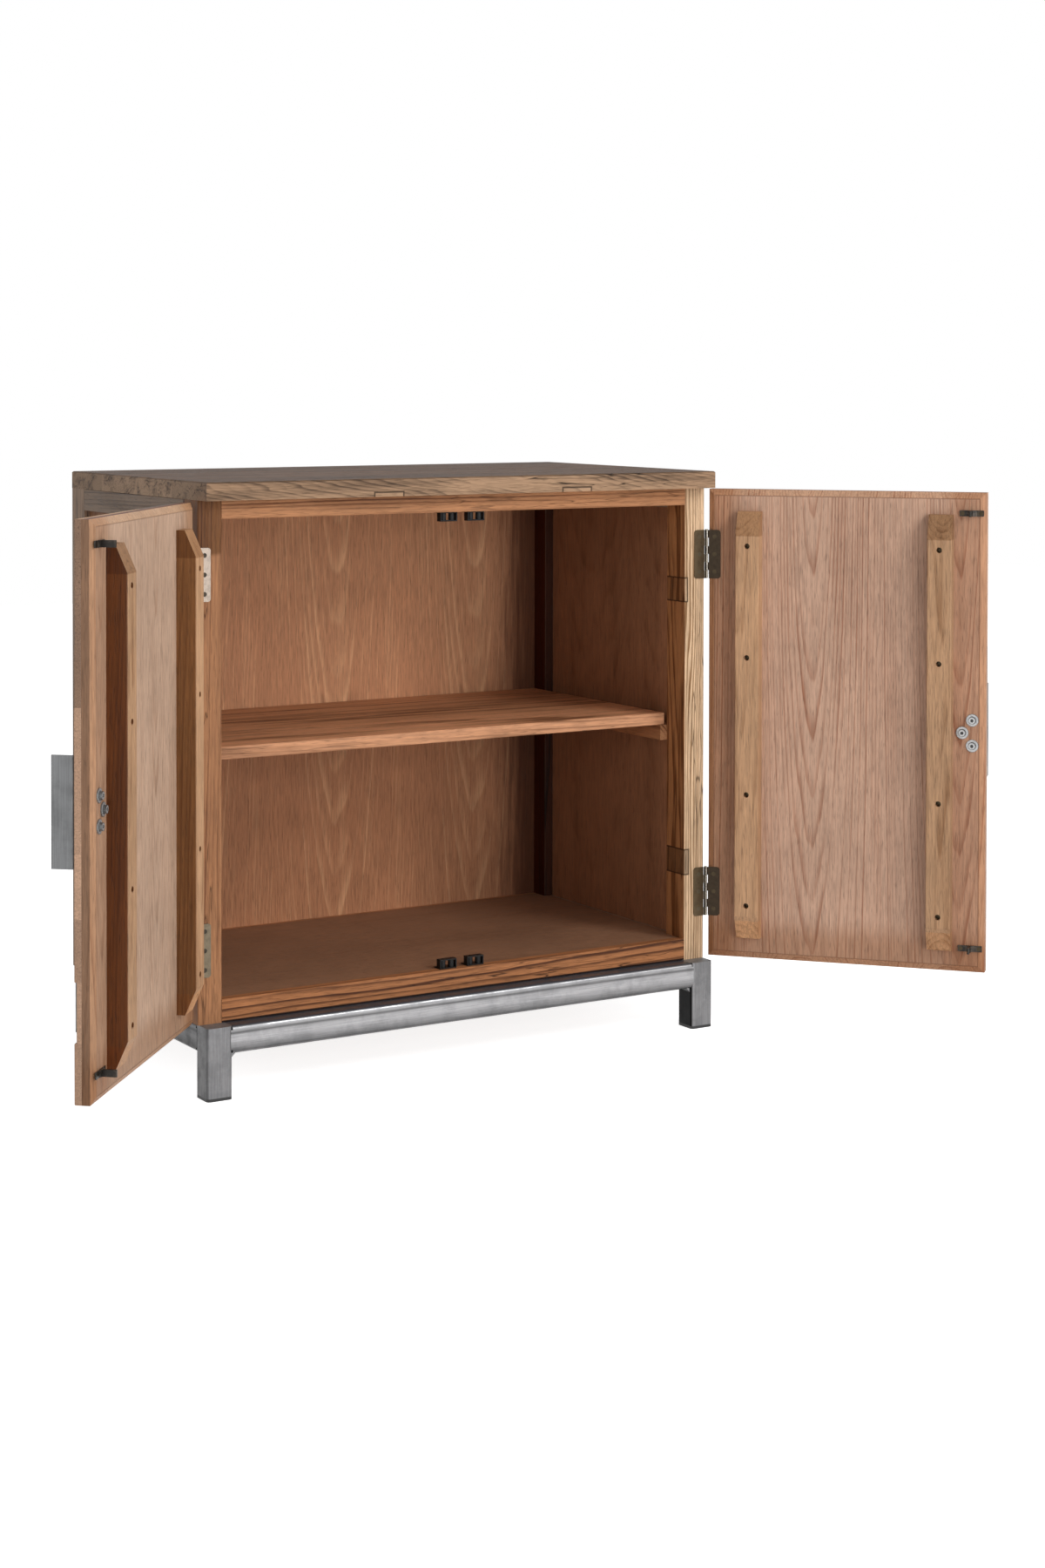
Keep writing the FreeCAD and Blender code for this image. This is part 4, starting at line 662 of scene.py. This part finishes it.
def door_woods(side, seed, light, dark, contrast, edge, batten_side_shades):
    """The board, the battens and the outer blocks of a door. The board has painted shade along its
    hinge and free edges, and is darker near its lower end.
    """
    dress(f"{side}_door_board", wood(
        f"{side} door board veneer", "z", "x", light, dark, seed, side=side, leaf=(0.045, 0.21),
        lipping=linear(240, 232, 220), pith=0.03, lean=-0.055, rings=0.0042, contrast=contrast, mottle=0.22,
        # Painted shade along the hinge and free edges; darker near the lower end.
        bands=(("x", -0.02, 0.045, 0.015, linear(237, 222, 206)),
               ("x", 0.35, 0.42, 0.015, linear(236, 222, 210)),
               ("z", -0.36, -0.29, 0.02, linear(228, 216, 204))),
        # Painted shade on the free edge of the board.
        tints=(("z", 1, linear(140, 104, 82)), ("x", 1, edge))))
    for (place, middle, step), batten_side_shade in zip(BATTENS, batten_side_shades):
        dress(f"{side}_door_{place}_batten", wood(
            f"{side} {place} batten wood", "z", "x", BATTEN, BATTEN_DARK, seed + step, side=side,
            centre=middle, pith=0.02, lean=-0.03, wander=0.008, contrast=0.5, mottle=0.4, cracked=0.2,
            bands=(("z", 0.272, 0.32, 0.001, linear(214, 204, 192)),
                   ("z", -0.32, -0.28, 0.001, scaled(linear(255, 244, 232), 1.1))),
            # Painted shade on the batten side that faces the free edge.
            tints=(("x", 1, batten_side_shade),)))
    dress(f"{side}_door_blocks", wood(
        f"{side} door block wood", "x", "z", TAN, GREY_DARK, seed + 3, side=side, blocks=True, rings=0.006,
        lean=0.04, wander=0.008, contrast=0.6, tone_spread=0.35, cracked=0.7, ends=TAN_END))


def base_steels():
    """The welded base. Its left and front faces carry painted shade, and one leg has dark painted
    shade on its inner face.
    """
    left_shade = ("x", -1, linear(156, 156, 156))
    front_shade = ("y", -1, linear(198, 198, 198))
    dark_shade = ("x", -1, linear(40, 40, 40))
    for place, brush in (("front", "x"), ("back", "x"), ("left", "y"), ("right", "y")):
        dress(f"base_rail_{place}", steel(f"{place} base rail steel", scaled(BASE_STEEL, 0.85), 0.36, 0.3,
                                          brush, tints=(left_shade,), rail=True, top=RAIL_TOP_SHADE))
    for place in ("front_left", "front_right", "back_left", "back_right"):
        left_face = dark_shade if place == "front_right" else left_shade
        dress(f"base_leg_{place}", steel(f"{place} leg steel", scaled(BASE_STEEL, 0.77), 0.36, brush="z",
                                         tints=(left_face, front_shade), top=LEG_TOP_SHADE))
    dress("base_screws", plain("base screw steel", BASE_SCREW, 0.35, 1.0))
    dress("foot_caps", plain("black foot plastic", FOOT_BLACK, 0.5))


def hinge_metals():
    """The leaves of the butt hinges, their pins and their screws."""
    dress("hinge_frame_leaves", bronze("frame leaf bronze", FRAME_BRONZE, left_worn=True))
    dress("hinge_pins", plain("pin steel", PIN_STEEL, 0.3, 0.9))
    dress("cabinet_screws", plain("cabinet screw steel", SCREW_DARK, 0.35, 0.8, right=SCREW_BRIGHT))
    for side in HAND:
        dress(f"{side}_hinge_door_leaves", bronze(f"{side} door leaf bronze", DOOR_BRONZE))
        dress(f"{side}_door_screws", plain(f"{side} door screw steel", DOOR_SCREW, 0.35, 0.9))


def pulls_and_catches():
    """The pulls with their bolts, and the roller catches with their strikes."""
    dress("catch_cases", plain("black catch case", CASE_BLACK, 0.45, worn=CASE_WORN, shine=0.2))
    for side in HAND:
        dress(f"{side}_door_pull", steel(f"{side} pull steel", PULL_STEEL, 0.5, 0.12, "z", side,
                                         metallic=0.6))
        dress(f"{side}_pull_bolts", zinc(side))
        dress(f"{side}_catch_strikes", plain(f"{side} blackened strike", STRIKE_BLACK, 0.38, 0.6,
                                             worn=STRIKE_WORN))
        for level in ("low", "top"):
            for roller in HAND:
                name = f"{side} {level} {roller} roller plastic"
                dress(f"{side}_{level}_catch_{roller}_roller", plain(name, ROLLER_BLACK, 0.45, shine=0.2))


# How far from the middle the floor's white glow starts to grow and is full, in metres, and its
# share near the object, where the shadow shows. The room's light is a share of the white world.
GLOW_NEAR, GLOW_FAR, NEAR_GLOW, ROOM_LIGHT = 0.9, 2.2, 0.82, 0.26


def studio():
    """A white floor that keeps the object's shadow, and a plain white world."""
    bpy.ops.object.select_all(action="DESELECT")
    bpy.ops.mesh.primitive_plane_add(size=14.0, location=(0, 0, 0))
    floor = bpy.context.object
    floor.name = "studio_floor"
    finish = Finish("studio floor")
    place = finish.own("Object")
    glow = finish.level(finish.vector("LENGTH", place), GLOW_NEAR, GLOW_FAR, NEAR_GLOW, 1.0)
    finish.shader.inputs["Emission Color"].default_value = (1, 1, 1, 1)
    finish.feed(finish.shader.inputs["Emission Strength"], finish.times(finish.seen_rays(), glow))
    white = finish.mix(finish.noise(place, 3.0), linear(252, 252, 252), linear(248, 248, 248))
    floor.data.materials.append(finish.paint(white, 0.9, shine=0.0))

    world = bpy.data.worlds.new("studio white")
    bpy.context.scene.world = world
    world.use_nodes = True
    sky = Network(world.node_tree)
    background = sky.tree.nodes["Background"]
    background.inputs["Color"].default_value = (1, 1, 1, 1)
    sky.feed(background.inputs["Strength"], sky.level(sky.seen_rays(), 0.0, 1.0, ROOM_LIGHT, 1.0))


# Name, place, aim, size and power of each soft light.
LAMPS = (
    ("key light", (1.6, -3.0, 2.4), (0.0, 0.0, 0.4), 1.2, 52.0),
    ("front light", (0.2, -4.0, 0.9), (0.0, 0.0, 0.4), 1.6, 44.0),
    ("right light", (3.2, -1.0, 1.3), (-0.3, -0.1, 0.45), 1.0, 8.0),
    ("left light", (-3.4, -1.2, 1.3), (0.4, -0.1, 0.45), 1.0, 12.0),
    ("left front light", (-2.2, -3.4, 1.8), (0.0, 0.0, 0.4), 1.2, 6.0),
    ("top light", (0.0, -0.3, 3.4), (0.0, 0.0, 0.4), 1.6, 10.0),
)


def lamp(name, place, aim, size, power):
    """A square soft light aimed at a point."""
    data = bpy.data.lights.new(name, "AREA")
    data.shape = "SQUARE"
    data.size = size
    data.energy = power
    lamp_object = bpy.data.objects.new(name, data)
    bpy.context.scene.collection.objects.link(lamp_object)
    lamp_object.location = place
    lamp_object.rotation_euler = (Vector(aim) - Vector(place)).to_track_quat("-Z", "Y").to_euler()


# The photograph's height, its focal length and the row that the camera aimed at, in pixels.
PHOTO_TALL, PHOTO_FOCAL, PHOTO_AXIS_ROW = 1800, 3148, 487
# Where it was taken from, in metres left of the cabinet's middle, ahead of the top's front edge
# and above the floor, and how the camera was turned, in degrees.
CAMERA_LEFT, CAMERA_AHEAD, CAMERA_UP = 1.8927, 3.2049, 0.9479
CAMERA_YAW, CAMERA_PITCH, CAMERA_ROLL = 31.55, 1.18, 0.09


def camera():
    """The photograph's view: nearly level, from the left, with the frame shifted down."""
    data = bpy.data.cameras.new("photo camera")
    data.sensor_width = 36.0
    data.lens = data.sensor_width * PHOTO_FOCAL / PHOTO_TALL
    data.shift_y = (PHOTO_AXIS_ROW - PHOTO_TALL / 2) / PHOTO_TALL
    data.clip_end = 60.0
    view = bpy.data.objects.new("photo camera", data)
    bpy.context.scene.collection.objects.link(view)
    view.location = (-CAMERA_LEFT, front_y - CAMERA_AHEAD, CAMERA_UP)
    yaw, pitch, roll = (math.radians(angle) for angle in (CAMERA_YAW, CAMERA_PITCH, CAMERA_ROLL))
    view.rotation_euler = (Matrix.Rotation(-yaw, 3, "Z") @ Matrix.Rotation(math.pi / 2 - pitch, 3, "X")
                           @ Matrix.Rotation(roll, 3, "Z")).to_euler()
    bpy.context.scene.camera = view


top_woods()
front_posts()
side_woods("left", 3, (), LEFT_PANEL_PAINTED_SHADE, ())
side_woods("right", 5, RIGHT_CORNER_PAINTED_SHADE, (), RIGHT_PANEL_PAINTED_LIGHT)
front_rails()
back_woods()
shelf_woods()
door_woods("left", 60, SOFT, SOFT_DARK, 0.65, LEFT_EDGE_SHADE, LEFT_BATTEN_SIDE_SHADE)
door_woods("right", 100, PINK, PINK_DARK, 0.72, RIGHT_EDGE_SHADE, RIGHT_BATTEN_SIDE_SHADE)
base_steels()
hinge_metals()
pulls_and_catches()
studio()
for light in LAMPS:
    lamp(*light)
camera()
bpy.context.scene.view_settings.view_transform = "Standard"
